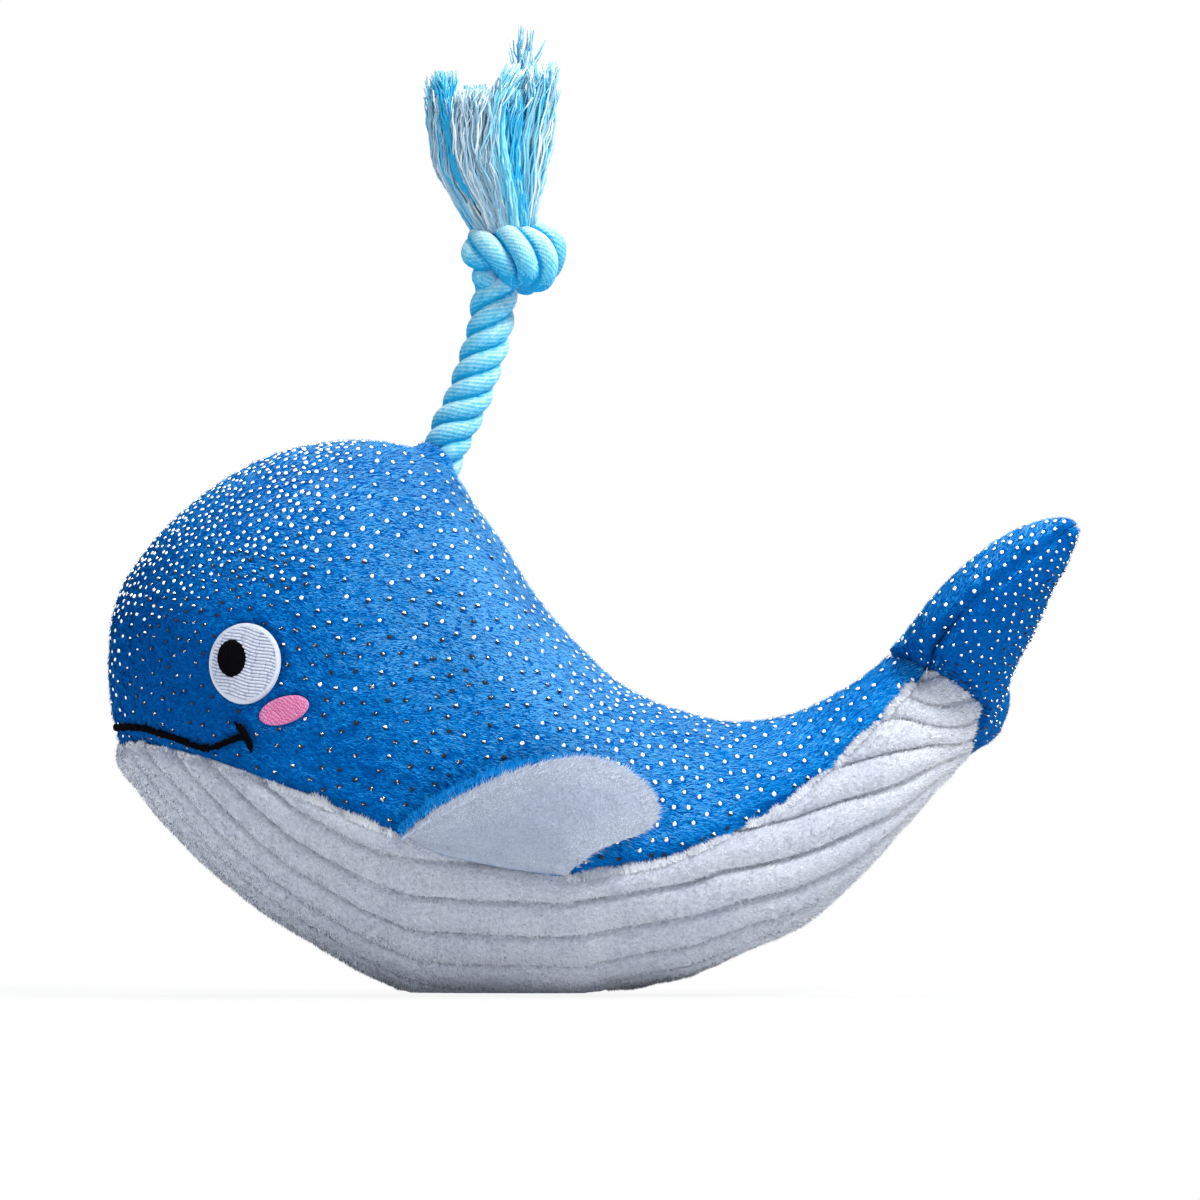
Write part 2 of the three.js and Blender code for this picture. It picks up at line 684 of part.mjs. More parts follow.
function ropeTassel() {
  const sides = roundSides;
  const rings = tasselShares.map(([height, width]) => {
    const ring = [];
    for (let j = 0; j < sides; j += 1) {
      const angle = 2 * Math.PI * j / sides;
      const x = -tasselLean * height - tasselForward + width * tasselWidth / 2 * Math.cos(angle);
      const y = width * tasselDepthShare * tasselWidth / 2 * Math.sin(angle);
      ring.push(tasselBase.clone().add(new THREE.Vector3(x, y, height * tasselHeight)));
    }
    return ring;
  });
  return ringForm(rings);
}

// The parts
const whale = new THREE.Group();
const colours = {
  blue: 0x0a6fd0, white: 0xdfe4ea, thread: 0xf0f4fa, black: 0x0c0d12, pink: 0xe47fb5,
  rope: 0x86cbe8, filling: 0xf4f4f0, plastic: 0xe8e8e4,
};

function addPart(name, shape, colour, roughness = 0.95) {
  const geometry = shape instanceof THREE.BufferGeometry ? shape : toGeometry(shape);
  const material = new THREE.MeshStandardMaterial({ color: colours[colour], roughness, metalness: 0 });
  const mesh = new THREE.Mesh(geometry, material);
  mesh.name = name;
  whale.add(mesh);
}

const turn = 2 * Math.PI;
addPart('back_panel_left', bodyPanel(() => 0, (s) => s.seam, backSteps), 'blue');
addPart('back_panel_right', bodyPanel((s) => turn - s.seam, () => turn, backSteps), 'blue');
addPart('belly_panel', bodyPanel((s) => s.seam, (s) => turn - s.seam, beltSteps), 'white');
const fill = bodyFill().subtract(squeakerPocket()).subtract(ropeAnchor(fillGap))
  .subtract(ropeHole(ropeRadius + fillGap));
addPart('body_stuffing', fill, 'filling');
addPart('squeaker_bulb', squeakerBulb(), 'plastic', 0.5);
addPart('squeaker_reed', squeakerReed(), 'plastic', 0.4);
addPart('rope_anchor', ropeAnchor(0), 'rope');

for (const [name, side] of [['left', 1], ['right', -1]]) {
  const eye = [eyePlaceShares[0] * bodyLength, eyePlaceShares[1] * bodyHeight];
  const cheek = [cheekPlaceShares[0] * bodyLength, cheekPlaceShares[1] * bodyHeight];
  const pupil = [eye[0] - pupilForward, eye[1] + pupilRaise];
  const pupilLift = 2 * fillGap + threadHeight;
  addPart(`eye_white_${name}`, oval(...eye, eyeWidth, eyeHeight, 0, side, fillGap, threadHeight), 'thread');
  addPart(
    `eye_pupil_${name}`,
    oval(...pupil, pupilWidth, pupilTallness, 0, side, pupilLift, pupilHeight), 'black', 0.7,
  );
  addPart(`cheek_${name}`, oval(...cheek, cheekWidth, cheekHeight, cheekTilt, side, fillGap, threadHeight), 'pink');
}
addPart('mouth_stitching', mouthStitching(), 'black', 0.7);

for (const [name, side] of [['left', 1], ['right', -1]]) {
  const middle = finLayerGap / 2;
  addPart(`fin_upper_${name}`, finLayer(side, -finHalfThickness, -middle), 'blue');
  addPart(`fin_under_${name}`, finLayer(side, middle, finHalfThickness), 'white');
}

const flukeSkin = cutFlukeRoot(flukeLobes(0).subtract(flukeLobes(skinThickness)));
addPart('fluke_upper_panel', flukeSkin.intersect(seamSide(1)), 'blue');
addPart('fluke_under_panel', flukeSkin.intersect(seamSide(-1)), 'blue');
addPart('fluke_stuffing', cutFlukeRoot(flukeLobes(skinThickness + fillGap)), 'filling');

addPart('rope_spout', ropeSpout(), 'rope');
addPart('rope_knot', ropeKnot(), 'rope');
addPart('rope_tassel', ropeTassel(), 'rope');

export default whale;
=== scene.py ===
"""Looks of the plush whale: short pile, foil dots, ribbed belly, embroidery, laid rope and frayed end.

Metres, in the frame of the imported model: +X from head to tail, +Z up, the near side towards -Y.
"""
import bmesh, bpy, math
import numpy as np
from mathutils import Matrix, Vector, kdtree


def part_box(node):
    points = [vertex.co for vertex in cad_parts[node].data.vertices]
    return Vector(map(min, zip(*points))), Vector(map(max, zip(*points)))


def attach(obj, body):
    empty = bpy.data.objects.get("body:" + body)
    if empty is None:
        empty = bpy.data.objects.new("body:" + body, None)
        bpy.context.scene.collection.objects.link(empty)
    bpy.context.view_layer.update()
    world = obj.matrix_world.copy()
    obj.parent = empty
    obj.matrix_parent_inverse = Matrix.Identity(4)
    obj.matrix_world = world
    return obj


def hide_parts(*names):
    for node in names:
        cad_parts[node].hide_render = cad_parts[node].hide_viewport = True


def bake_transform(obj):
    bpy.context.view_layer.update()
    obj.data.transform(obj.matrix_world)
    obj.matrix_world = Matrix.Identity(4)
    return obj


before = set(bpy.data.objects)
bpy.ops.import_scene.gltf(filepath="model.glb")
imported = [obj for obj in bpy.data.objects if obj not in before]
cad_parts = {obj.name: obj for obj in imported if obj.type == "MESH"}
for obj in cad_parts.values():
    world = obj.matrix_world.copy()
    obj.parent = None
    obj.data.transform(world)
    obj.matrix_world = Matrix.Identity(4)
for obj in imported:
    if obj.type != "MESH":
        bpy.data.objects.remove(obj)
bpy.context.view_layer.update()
MM = 0.001

# Sizes and tables shared with the solids
BODY_LENGTH, BODY_HEIGHT, BODY_WIDTH = 0.251, 0.159, 0.098
BODY_SIDE = np.array([BODY_LENGTH, BODY_HEIGHT])
SECTION_FULLNESS = 2.25
# back point x, z; belly point x, z; width; seam angle; roll; sway
BODY_ROWS = np.array([
    [-0.475, 0.461, -0.475, 0.455, 0.01, 107, 0, 0],
    [-0.480, 0.526, -0.468, 0.398, 0.14, 107, 0, 0],
    [-0.480, 0.625, -0.450, 0.361, 0.33, 107, 0, 0],
    [-0.473, 0.702, -0.427, 0.317, 0.48, 107, 0, 0],
    [-0.450, 0.778, -0.393, 0.262, 0.64, 106.5, 0, 0],
    [-0.410, 0.854, -0.348, 0.195, 0.80, 106, 0, 0],
    [-0.353, 0.922, -0.291, 0.125, 0.91, 107, 0, 0],
    [-0.285, 0.978, -0.228, 0.058, 0.97, 108.5, 0, 0],
    [-0.216, 0.997, -0.165, 0.008, 1.00, 110.5, 0, 0],
    [-0.148, 0.987, -0.103, -0.011, 1.00, 113.5, 0, 0],
    [-0.089, 0.945, -0.046, -0.018, 0.99, 115.5, 0, 0],
    [-0.048, 0.854, 0.011, -0.020, 0.97, 114, 0, 0],
    [-0.006, 0.747, 0.063, -0.015, 0.94, 111.5, 0, 0],
    [0.040, 0.648, 0.125, 0.002, 0.89, 106, 0, 0],
    [0.085, 0.578, 0.188, 0.033, 0.83, 102, 0, 0],
    [0.131, 0.533, 0.251, 0.076, 0.76, 98, 1, 0],
    [0.182, 0.505, 0.308, 0.118, 0.67, 93, 3, 0.005],
    [0.239, 0.485, 0.359, 0.179, 0.60, 91, 7, 0.015],
    [0.297, 0.496, 0.404, 0.254, 0.54, 90, 13, 0.031],
    [0.350, 0.534, 0.448, 0.340, 0.49, 93, 20, 0.056],
    [0.388, 0.570, 0.479, 0.403, 0.46, 97, 26, 0.087],
    [0.414, 0.601, 0.502, 0.447, 0.44, 100, 31, 0.112],
    [0.450, 0.657, 0.533, 0.506, 0.44, 102, 33, 0.160],
])
PIVOT = np.array([0.106529, 0.005609, 0.077808])
TAIL = np.array([0.738, 0.47, 0.482]); TAIL /= np.linalg.norm(TAIL)
NORMAL = np.cross([0.184, -0.831, 0.525], TAIL); NORMAL /= np.linalg.norm(NORMAL)
ACROSS = np.cross(TAIL, NORMAL)
FLUKE_SPAN, FLUKE_REACH = 0.114, 0.051
LOBE_WIDTH, LOBE_THICKNESS = 0.040, 0.037
# across the span, back from the joint, arched up; half width, half thickness
LOBE_ROWS = np.array([
    [0.03, 0.04, 0.000, 0.96, 0.96], [0.08, 0.21, 0.005, 0.96, 0.95], [0.18, 0.34, 0.025, 0.97, 0.92],
    [0.34, 0.44, 0.047, 0.93, 0.85], [0.55, 0.63, 0.069, 0.80, 0.73], [0.76, 0.82, 0.078, 0.52, 0.53],
    [0.90, 0.94, 0.050, 0.30, 0.34], [1.00, 1.00, 0.016, 0.10, 0.12],
])
BLOWHOLE = np.array([-0.023845, 0.0, 0.150096])
KNOT = np.array([-0.004545, 0.0, 0.209796])
TASSEL_BASE = np.array([-0.004545, 0.0, 0.220096])
ROPE_DIAMETER = 0.0127
FIN_FRONT = np.array([-0.033922, 0.044413])
FIN_REAR = np.array([0.013294, 0.033554])
# The face lies ahead of this x, and the rope's hole above this z
FACE_END, HOLE_LOW = -0.06, 0.12


# Small helpers
def unit(v):
    return v / np.maximum(np.linalg.norm(v, axis=-1, keepdims=True), 1e-12)


def smooth(x):
    x = np.clip(x, 0, 1)
    return x * x * (3 - 2 * x)


def bell(x, at, width):
    """1 at a place, falling away on both sides of it."""
    return np.exp(-((x - at) / width) ** 2)


def noise(p, size, seed):
    """Smooth noise from -1 to 1 at points p, with features of about that size."""
    q = np.asarray(p, float) / size
    i = np.floor(q).astype(np.int64)
    f = q - i
    f = f * f * (3 - 2 * f)
    total = 0
    for dx in (0, 1):
        for dy in (0, 1):
            for dz in (0, 1):
                h = (i[..., 0] + dx) * 374761393 + (i[..., 1] + dy) * 668265263 + (i[..., 2] + dz) * 1440662683
                h = (h + seed * 974634777) & 0xFFFFFFFF
                h = ((h ^ (h >> 13)) * 1274126177) & 0xFFFFFFFF
                h = (h ^ (h >> 16)) & 0xFFFF
                w = (f[..., 0] if dx else 1 - f[..., 0]) * (f[..., 1] if dy else 1 - f[..., 1]) \
                    * (f[..., 2] if dz else 1 - f[..., 2])
                total = total + w * (h / 32767.5 - 1)
    return total


def rows_at(rows, share):
    """Rows between the rows of a table, smooth through all of them."""
    last = len(rows) - 1
    place = np.clip(share, 0, 1) * last
    i = np.minimum(place.astype(int), last - 1)
    t = (place - i)[..., None]
    a, b, d, e = (rows[np.clip(i + k, 0, last)] for k in (-1, 0, 1, 2))
    return b + 0.5 * (t * (d - a) + t * t * (2 * a - 5 * b + 4 * d - e) + t ** 3 * (3 * b - a - 3 * d + e))


def run_along(path):
    """The distance along a path at each of its points."""
    return np.concatenate([[0], np.cumsum(np.linalg.norm(np.diff(path, axis=0), axis=1))])


def between(at, marks, values):
    """Rows of values, given at marks, at other places."""
    return np.stack([np.interp(at, marks, values[:, c]) for c in range(3)], -1)


def near_tree(points):
    tree = kdtree.KDTree(len(points))
    for i, p in enumerate(points):
        tree.insert(p, i)
    tree.balance()
    return tree


def distances(tree, points):
    """How far each point is from the nearest one in the tree."""
    return np.array([tree.find(p)[2] for p in points], float)


def dress(piece, body, node=None):
    """Says which body a piece rides on, and hides the solid it stands for."""
    if body:
        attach(piece, body)
    if node:
        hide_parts(node)


# The body's form
def section(share):
    row = rows_at(BODY_ROWS, np.asarray(share, float))
    zero = np.zeros_like(row[..., 0])
    back = np.stack([row[..., 0] * BODY_LENGTH, zero, row[..., 1] * BODY_HEIGHT], -1)
    belly = np.stack([row[..., 2] * BODY_LENGTH, zero, row[..., 3] * BODY_HEIGHT], -1)
    rise = back - belly
    height = np.linalg.norm(rise, axis=-1, keepdims=True)
    rise = rise / height
    far = np.array([0.0, 1.0, 0.0])
    roll = np.radians(row[..., 6])[..., None]
    middle = (back + belly) / 2 + far * (row[..., 7] * BODY_WIDTH)[..., None]
    backward = (rise * np.cos(roll) + far * np.sin(roll)) * height / 2
    near = (-far * np.cos(roll) + rise * np.sin(roll)) * (np.maximum(row[..., 4], 0) * BODY_WIDTH / 2)[..., None]
    return middle, backward, near, np.radians(row[..., 5])


def power(v, p):
    return np.sign(v) * np.abs(v) ** p


def body_point(share, angle):
    """A point of the body's surface. The angle runs from the back down the near side."""
    middle, back, near, _ = section(share)
    p = 2 / SECTION_FULLNESS
    at = middle + back * power(np.cos(angle), p)[..., None] + near * power(np.sin(angle), p)[..., None]
    at[..., 2] = np.maximum(at[..., 2], 0)
    return at


def body_normal(share, angle):
    along = body_point(np.minimum(share + 0.002, 1), angle) - body_point(share - 0.002, angle)
    around = body_point(share, angle + 0.01) - body_point(share, angle - 0.01)
    return unit(np.cross(around, along))


def side_place(x, z, side):
    """Share and angle of the place on the near (1) or far (-1) side over a point of the middle plane."""
    x, z = np.asarray(x, float), np.asarray(z, float)
    low, high = np.zeros_like(x), np.ones_like(x)
    for _ in range(40):
        share = (low + high) / 2
        row = rows_at(BODY_ROWS, share)
        rx, rz = (row[..., 0] - row[..., 2]) * BODY_LENGTH, (row[..., 1] - row[..., 3]) * BODY_HEIGHT
        past = (x - row[..., 2] * BODY_LENGTH) * rz - (z - row[..., 3] * BODY_HEIGHT) * rx > 0
        low, high = np.where(past, share, low), np.where(past, high, share)
    share = (low + high) / 2
    middle, back, _, _ = section(share)
    d = np.stack([x, np.zeros_like(x), z], -1) - middle
    height = (d * back).sum(-1) / (back * back).sum(-1)
    return share, side * np.arccos(power(np.clip(height, -1, 1), SECTION_FULLNESS / 2))


def side_surface(x, z, side):
    share, angle = side_place(x, z, side)
    return body_point(share, angle), body_normal(share, angle)


# Materials
def set_inputs(node, values):
    for socket, value in values.items():
        node.inputs[socket].default_value = value


def add_node(tree, kind, operation=None, **values):
    node = tree.nodes.new("ShaderNode" + kind)
    if operation:
        node.operation = operation
    set_inputs(node, values)
    return node


def wire(tree, *pairs):
    for out, into in pairs:
        tree.links.new(out, into)


def material(name, color, roughness=0.9, metallic=0.0, sheen=0.0, tint=(1, 1, 1), spots=None, bump=0.0, size=600,
             gloss=0.2):
    """A node material: plain socket values, and a two-colour noise where spots gives the second colour."""
    m = bpy.data.materials.new(name)
    m.use_nodes = True
    tree = m.node_tree
    shader = tree.nodes["Principled BSDF"]
    values = {"Base Color": (*color, 1), "Roughness": roughness, "Metallic": metallic}
    if sheen:
        values.update({"Sheen Weight": sheen, "Sheen Roughness": 0.45, "Sheen Tint": (*tint, 1)})
    if metallic < 0.5:
        values["Specular IOR Level"] = gloss
    set_inputs(shader, values)
    if spots is not None or bump:
        grain = add_node(tree, "TexNoise", Scale=size, Detail=4)
        wire(tree, (add_node(tree, "TexCoord").outputs["Object"], grain.inputs["Vector"]))
    if spots is not None:
        ramp = add_node(tree, "ValToRGB")
        for stop, place, shade in zip(ramp.color_ramp.elements, (0.36, 0.62), (spots, color)):
            stop.position, stop.color = place, (*shade, 1)
        wire(tree, (grain.outputs["Fac"], ramp.inputs["Fac"]), (ramp.outputs["Color"], shader.inputs["Base Color"]))
    if bump:
        relief = add_node(tree, "Bump", Strength=bump, Distance=0.0004)
        wire(tree, (grain.outputs["Fac"], relief.inputs["Height"]),
             (relief.outputs["Normal"], shader.inputs["Normal"]))
    return m


def family(name, rows, **shared):
    """Materials that differ in their name's end, colour and what else their row gives."""
    return [material(name + end, color, **{**shared, **own}) for end, color, own in rows]


GROUND = dict(roughness=1, bump=0.6, size=900)
BLUE_SKIN = material("blue_pile_ground", (0.001, 0.13, 0.50), sheen=0.3, tint=(0, 0.5, 1), spots=(0.0, 0.07, 0.34),
                     gloss=0.04, **GROUND)
WHITE_SKIN = material("white_pile_ground", (0.66, 0.69, 0.77), sheen=0.2, spots=(0.50, 0.53, 0.62), **GROUND)
# Painted shade: the fin's white layer takes a greyer copy of the white plush, for the shade on it
FIN_SKIN = material("fin_pile_ground", (0.46, 0.51, 0.62), sheen=0.2, spots=(0.38, 0.43, 0.54), **GROUND)
# Pile tones, picked per fibre by blue_tone, white_tone, fluke_tone and fin_tone, partly by painted light and shade
BLUE_PILE = family("blue_pile_", [
    ("pale", (0.11, 0.50, 0.95), dict(sheen=0.5, tint=(0.6, 0.9, 1))),
    ("light", (0.018, 0.38, 0.90), dict(sheen=0.4, tint=(0.2, 0.75, 1), gloss=0.1)),
    ("mid", (0.0, 0.27, 0.77), dict(sheen=0.25, tint=(0, 0.7, 1), gloss=0.04, roughness=0.75)),
    ("deep", (0.0, 0.13, 0.47), dict(sheen=0.15, tint=(0, 0.5, 1), gloss=0.04, roughness=0.8)),
], roughness=0.7)
WHITE_PILE = family("white_pile_", [
    ("a", (0.93, 0.94, 0.97), {}), ("b", (0.80, 0.83, 0.89), {}),
    ("c", (0.64, 0.70, 0.80), dict(sheen=0.2, roughness=0.9)),
], sheen=0.3, roughness=0.85)
# Painted shade: greyer copies of the white pile for the fin's white layer
FIN_PILE = family("fin_pile_", [
    ("a", (0.66, 0.71, 0.81), {}), ("b", (0.53, 0.585, 0.71), {}),
    ("c", (0.43, 0.49, 0.63), dict(sheen=0.2, roughness=0.9)),
], sheen=0.3, roughness=0.85)
FOIL = material("foil", (0.93, 0.95, 0.98), 0.16, 1.0)
# Painted shade: dark foil for dots that would reflect shade
FOIL_PAINTED_SHADE = material("foil_painted_shade", (0.035, 0.035, 0.04), 0.3, 1.0)
EYE_WHITE = family("eye_thread", [
    ("", (0.76, 0.79, 0.86), dict(roughness=0.5, sheen=0.1, tint=(0.76, 0.79, 0.86), spots=(0.62, 0.66, 0.78))),
    ("_shade", (0.42, 0.46, 0.62), dict(roughness=0.7, spots=(0.36, 0.40, 0.56))),
], size=1600)
BLACK_THREAD = material("black_thread", (0.0015, 0.0015, 0.003), spots=(0.003, 0.003, 0.005), size=1600,
                        gloss=0.04)
CHEEK_PINK = family("pink_thread", [
    ("", (0.80, 0.24, 0.46), dict(roughness=0.5, sheen=0.2, tint=(0.80, 0.24, 0.46), spots=(0.88, 0.42, 0.62))),
    ("_shade", (0.62, 0.12, 0.32), dict(roughness=0.7, spots=(0.72, 0.20, 0.42))),
], size=1400)
# Lit and shaded copies of the rope's colour, pale to deep, picked by painted light and shade; the last is for loose
# fibres
ROPES = family("rope_", [
    ("pale", (0.68, 0.88, 0.95), dict(sheen=0.4, tint=(0.9, 0.98, 1), spots=(0.58, 0.84, 0.93))),
    ("light", (0.36, 0.74, 0.89), dict(sheen=0.3, tint=(0.8, 0.95, 1), spots=(0.30, 0.70, 0.87))),
    ("mid", (0.13, 0.58, 0.83), dict(sheen=0.2, tint=(0.7, 0.9, 1), spots=(0.10, 0.54, 0.81))),
    ("deep", (0.012, 0.40, 0.70), dict(roughness=0.9, spots=(0.008, 0.36, 0.67))),
    ("fuzz", (0.62, 0.86, 0.94), dict(roughness=0.9, bump=0)),
], roughness=0.85, bump=0.3, size=700)
FUZZ = 4
THREADS = [material("thread_" + word, color, 0.6, sheen=0.2, tint=color) for word, color in (
    ("silver", (0.36, 0.55, 0.68)), ("white", (0.80, 0.89, 0.93)), ("aqua", (0.26, 0.69, 0.88)),
    ("cyan", (0.03, 0.46, 0.78)))]
FIBRE = material("polyester_fibre", (0.86, 0.86, 0.84), spots=(0.74, 0.74, 0.72), bump=1, size=500)
PLASTIC = material("soft_plastic", (0.84, 0.84, 0.80), 0.45, spots=(0.80, 0.80, 0.76), size=80)


# Meshes
def add_mesh(name, verts, faces, mats, which=None):
    """A mesh object from arrays: faces is (n, 3) or (n, 4), which picks each face's material."""
    mesh = bpy.data.meshes.new(name)
    verts, faces = np.asarray(verts, np.float32), np.asarray(faces, np.int32)
    n, k = faces.shape
    mesh.vertices.add(len(verts))
    mesh.vertices.foreach_set("co", verts.ravel())
    mesh.loops.add(n * k)
    mesh.loops.foreach_set("vertex_index", faces.ravel())
    mesh.polygons.add(n)
    mesh.polygons.foreach_set("loop_start", np.arange(0, n * k, k, dtype=np.int32))
    mesh.polygons.foreach_set("use_smooth", np.ones(n, bool))
    for m in mats:
        mesh.materials.append(m)
    if which is not None:
        mesh.polygons.foreach_set("material_index", np.asarray(which, np.int32))
    mesh.update(calc_edges=True)
    obj = bpy.data.objects.new(name, mesh)
    bpy.context.scene.collection.objects.link(obj)
    return obj


def fibres(name, corners, normals, mats, which):
    """Single triangles, each shaded as if it faced along its own normal."""
    count = len(corners)
    obj = add_mesh(name, corners.reshape(-1, 3), np.arange(count * 3).reshape(-1, 3), mats, which)
    obj.data.normals_split_custom_set_from_vertices(np.repeat(unit(normals), 3, axis=0))
    return obj


class Heap:
    """Gathers many small meshes into one."""

    def __init__(self):
        self.verts, self.faces, self.which, self.count = [], [], [], 0

    def add(self, verts, faces, which=0):
        verts = np.asarray(verts, float).reshape(-1, 3)
        self.verts.append(verts)
        self.faces.append(np.asarray(faces, int) + self.count)
        self.which.append(np.full(len(faces), which) if np.isscalar(which) else np.asarray(which))
        self.count += len(verts)

    def make(self, name, mats):
        verts, faces, which = (np.concatenate(a) for a in (self.verts, self.faces, self.which))
        return add_mesh(name, verts, faces, mats, which)


def grid_faces(rows, columns, wrap=False):
    i = np.arange(rows - 1)[:, None]
    j = np.arange(columns if wrap else columns - 1)[None, :]
    k = (j + 1) % columns
    quad = [i * columns + j, (i + 1) * columns + j, (i + 1) * columns + k, i * columns + k]
    return np.stack([q.ravel() for q in quad], -1)


def cap_faces(rows, sides):
    """Fans from a closed tube's two end points, which come after its rows, as quads with their last corner twice."""
    j = np.arange(sides)
    k = (j + 1) % sides
    tip, last = np.full(sides, rows * sides), (rows - 1) * sides
    return np.concatenate([np.stack([tip, j, k, k], -1), np.stack([tip + 1, last + k, last + j, last + j], -1)])


def triangles(faces):
    """Quads cut into triangles, without those that have no width."""
    tris = np.concatenate([faces[:, [0, 1, 2]], faces[:, [0, 2, 3]]])
    return tris[(tris[:, 1] != tris[:, 2]) & (tris[:, 0] != tris[:, 2])]


def carried_frame(path, start):
    """Normal and binormal along a path, turning no more than the path does."""
    tangent = unit(np.gradient(path, axis=0))
    normal = np.zeros_like(path)
    normal[0] = unit(np.cross(tangent[0], start))
    for i in range(1, len(path)):
        normal[i] = unit(normal[i - 1] - tangent[i] * np.dot(normal[i - 1], tangent[i]))
    return normal, np.cross(tangent, normal)


def tube(path, radius, sides):
    """Points and triangles of a closed tube. radius has a row for each point: one number, or one for each side."""
    normal, binormal = carried_frame(path, [0.31, 0.95, 0.08])
    angle = 2 * np.pi * np.arange(sides) / sides
    r = np.broadcast_to(radius, (len(path), sides))[..., None]
    p = path[:, None] + r * (normal[:, None] * np.cos(angle)[None, :, None]
                             + binormal[:, None] * np.sin(angle)[None, :, None])
    points = np.concatenate([p.reshape(-1, 3), path[:1], path[-1:]])
    return points, triangles(np.concatenate([grid_faces(len(path), sides, wrap=True), cap_faces(len(path), sides)]))


def ball(centre_at, radii, rings=30):
    v = np.linspace(0, np.pi, rings)[:, None]
    u = 2 * np.pi * np.arange(2 * rings)[None, :] / (2 * rings)
    p = np.stack([np.sin(v) * np.cos(u), np.sin(v) * np.sin(u), np.cos(v) + 0 * u], -1) * radii + centre_at
    return p.reshape(-1, 3), triangles(grid_faces(rings, 2 * rings, wrap=True))


# Camera, light and floor
PHOTO_WIDTH, PIXEL = 1200, 0.000286
CAMERA_DISTANCE, SENSOR = 5.0, 36
stage = bpy.context.scene
centre = Vector((20.0 * MM, 0.0, 112.3 * MM))
camera_data = bpy.data.cameras.new("camera")
camera = bpy.data.objects.new("camera", camera_data)
stage.collection.objects.link(camera)
camera.location = centre + Vector((0, -CAMERA_DISTANCE, 0))
camera.rotation_euler = (math.radians(90), 0, 0)
camera_data.sensor_width = SENSOR
camera_data.lens = SENSOR * CAMERA_DISTANCE / (PHOTO_WIDTH * PIXEL)
camera_data.clip_start, camera_data.clip_end = 0.1, 30
stage.camera = camera
stage.view_settings.view_transform = "Standard"

COOL = (0.93, 0.96, 1)
for name, place, target, size, watts, color in (
        ("key", (0.72, -0.50, 1.05), (0.02, 0, 0.07), 0.45, 15.5, (1, 1, 1)),
        ("top", (0.15, 0.40, 1.3), (0, 0, 0.08), 0.7, 9.0, (1, 1, 1)),
        ("left", (-1.2, -0.4, 0.45), (0, 0, 0.08), 0.8, 3.0, COOL),
        ("low", (0.25, -1.3, 0.12), (0, 0, 0.03), 0.9, 1.3, COOL)):
    lamp = bpy.data.lights.new(name, "AREA")
    lamp.shape, lamp.size, lamp.energy, lamp.color = "DISK", size, watts, color
    light = bpy.data.objects.new(name, lamp)
    stage.collection.objects.link(light)
    light.location = place
    light.rotation_euler = (Vector(target) - Vector(place)).to_track_quat("-Z", "Y").to_euler()


def seen_by(tree, *kinds):
    """1 for these kinds of ray, and 0 for the others."""
    rays = add_node(tree, "LightPath")
    total = rays.outputs["Is %s Ray" % kinds[0]]
    for kind in kinds[1:]:
        most = add_node(tree, "Math", "MAXIMUM")
        wire(tree, (total, most.inputs[0]), (rays.outputs["Is %s Ray" % kind], most.inputs[1]))
        total = most.outputs[0]
    return total


def mix_shaders(tree, factor, first, second, output):
    both = add_node(tree, "MixShader")
    wire(tree, (factor, both.inputs["Fac"]), (first.outputs[0], both.inputs[1]),
         (second.outputs[0], both.inputs[2]), (both.outputs[0], tree.nodes[output].inputs["Surface"]))


world = bpy.data.worlds.new("world")
stage.world = world
world.use_nodes = True
tree = world.node_tree
shown = tree.nodes["Background"]
set_inputs(shown, {"Color": (1, 1, 1, 1), "Strength": 1})
lit = add_node(tree, "Background", Color=(0.82, 0.90, 1, 1), Strength=0.38)
mix_shaders(tree, seen_by(tree, "Camera", "Glossy", "Transmission"), lit, shown, "World Output")

floor_mat = bpy.data.materials.new("floor")
floor_mat.use_nodes = True
tree = floor_mat.node_tree
plain = tree.nodes["Principled BSDF"]
set_inputs(plain, {"Base Color": (0.8, 0.8, 0.8, 1), "Roughness": 1, "Specular IOR Level": 0})
away = add_node(tree, "VectorMath", "LENGTH")
far_off = add_node(tree, "MapRange", **{"From Min": 0.18, "From Max": 0.75, "To Min": 0.90, "To Max": 1.0})
part_of = add_node(tree, "Math", "MULTIPLY")
wire(tree, (add_node(tree, "TexCoord").outputs["Object"], away.inputs[0]),
     (away.outputs["Value"], far_off.inputs["Value"]), (seen_by(tree, "Camera", "Glossy"), part_of.inputs[0]),
     (far_off.outputs["Result"], part_of.inputs[1]))
mix_shaders(tree, part_of.outputs[0], plain, add_node(tree, "Emission"), "Material Output")
FLOOR_Z = -0.0009
floor_corners = [(x, y, FLOOR_Z) for x, y in ((-6, -8), (6, -8), (6, 8), (-6, 8))]
floor = add_mesh("floor", floor_corners, [(0, 1, 2, 3)], [floor_mat])


# Rope
YARNS = 14
# Thresholds on the painted light and shade that pick each rope tone
LIGHT_AND_SHADE_STEPS = [0.26, 0.58, 0.95]


def spline(points, step):
    """Points every step along a smooth curve through the given ones, and their distances along it."""
    points = np.asarray(points, float)
    dense = rows_at(points, np.linspace(0, 1, 40 * len(points)))
    run = run_along(dense)
    s = np.linspace(0, run[-1], max(int(run[-1] / step), 3))
    return between(s, run, dense), s


def fuzz(heap, points, normals, count, length, width, seed):
    """Loose fibre ends standing off a surface."""
    rng = np.random.default_rng(seed)
    pick = rng.integers(0, len(points), count)
    p, n = points[pick], normals[pick]
    lean = unit(rng.normal(size=(count, 3)))
    tip = p + (n * 0.7 + lean * 0.8) * (length * rng.uniform(0.4, 1, count))[:, None]
    side = unit(np.cross(n, lean)) * width / 2
    heap.add(np.stack([p - side, p + side, tip], 1), np.arange(count * 3).reshape(-1, 3), FUZZ)


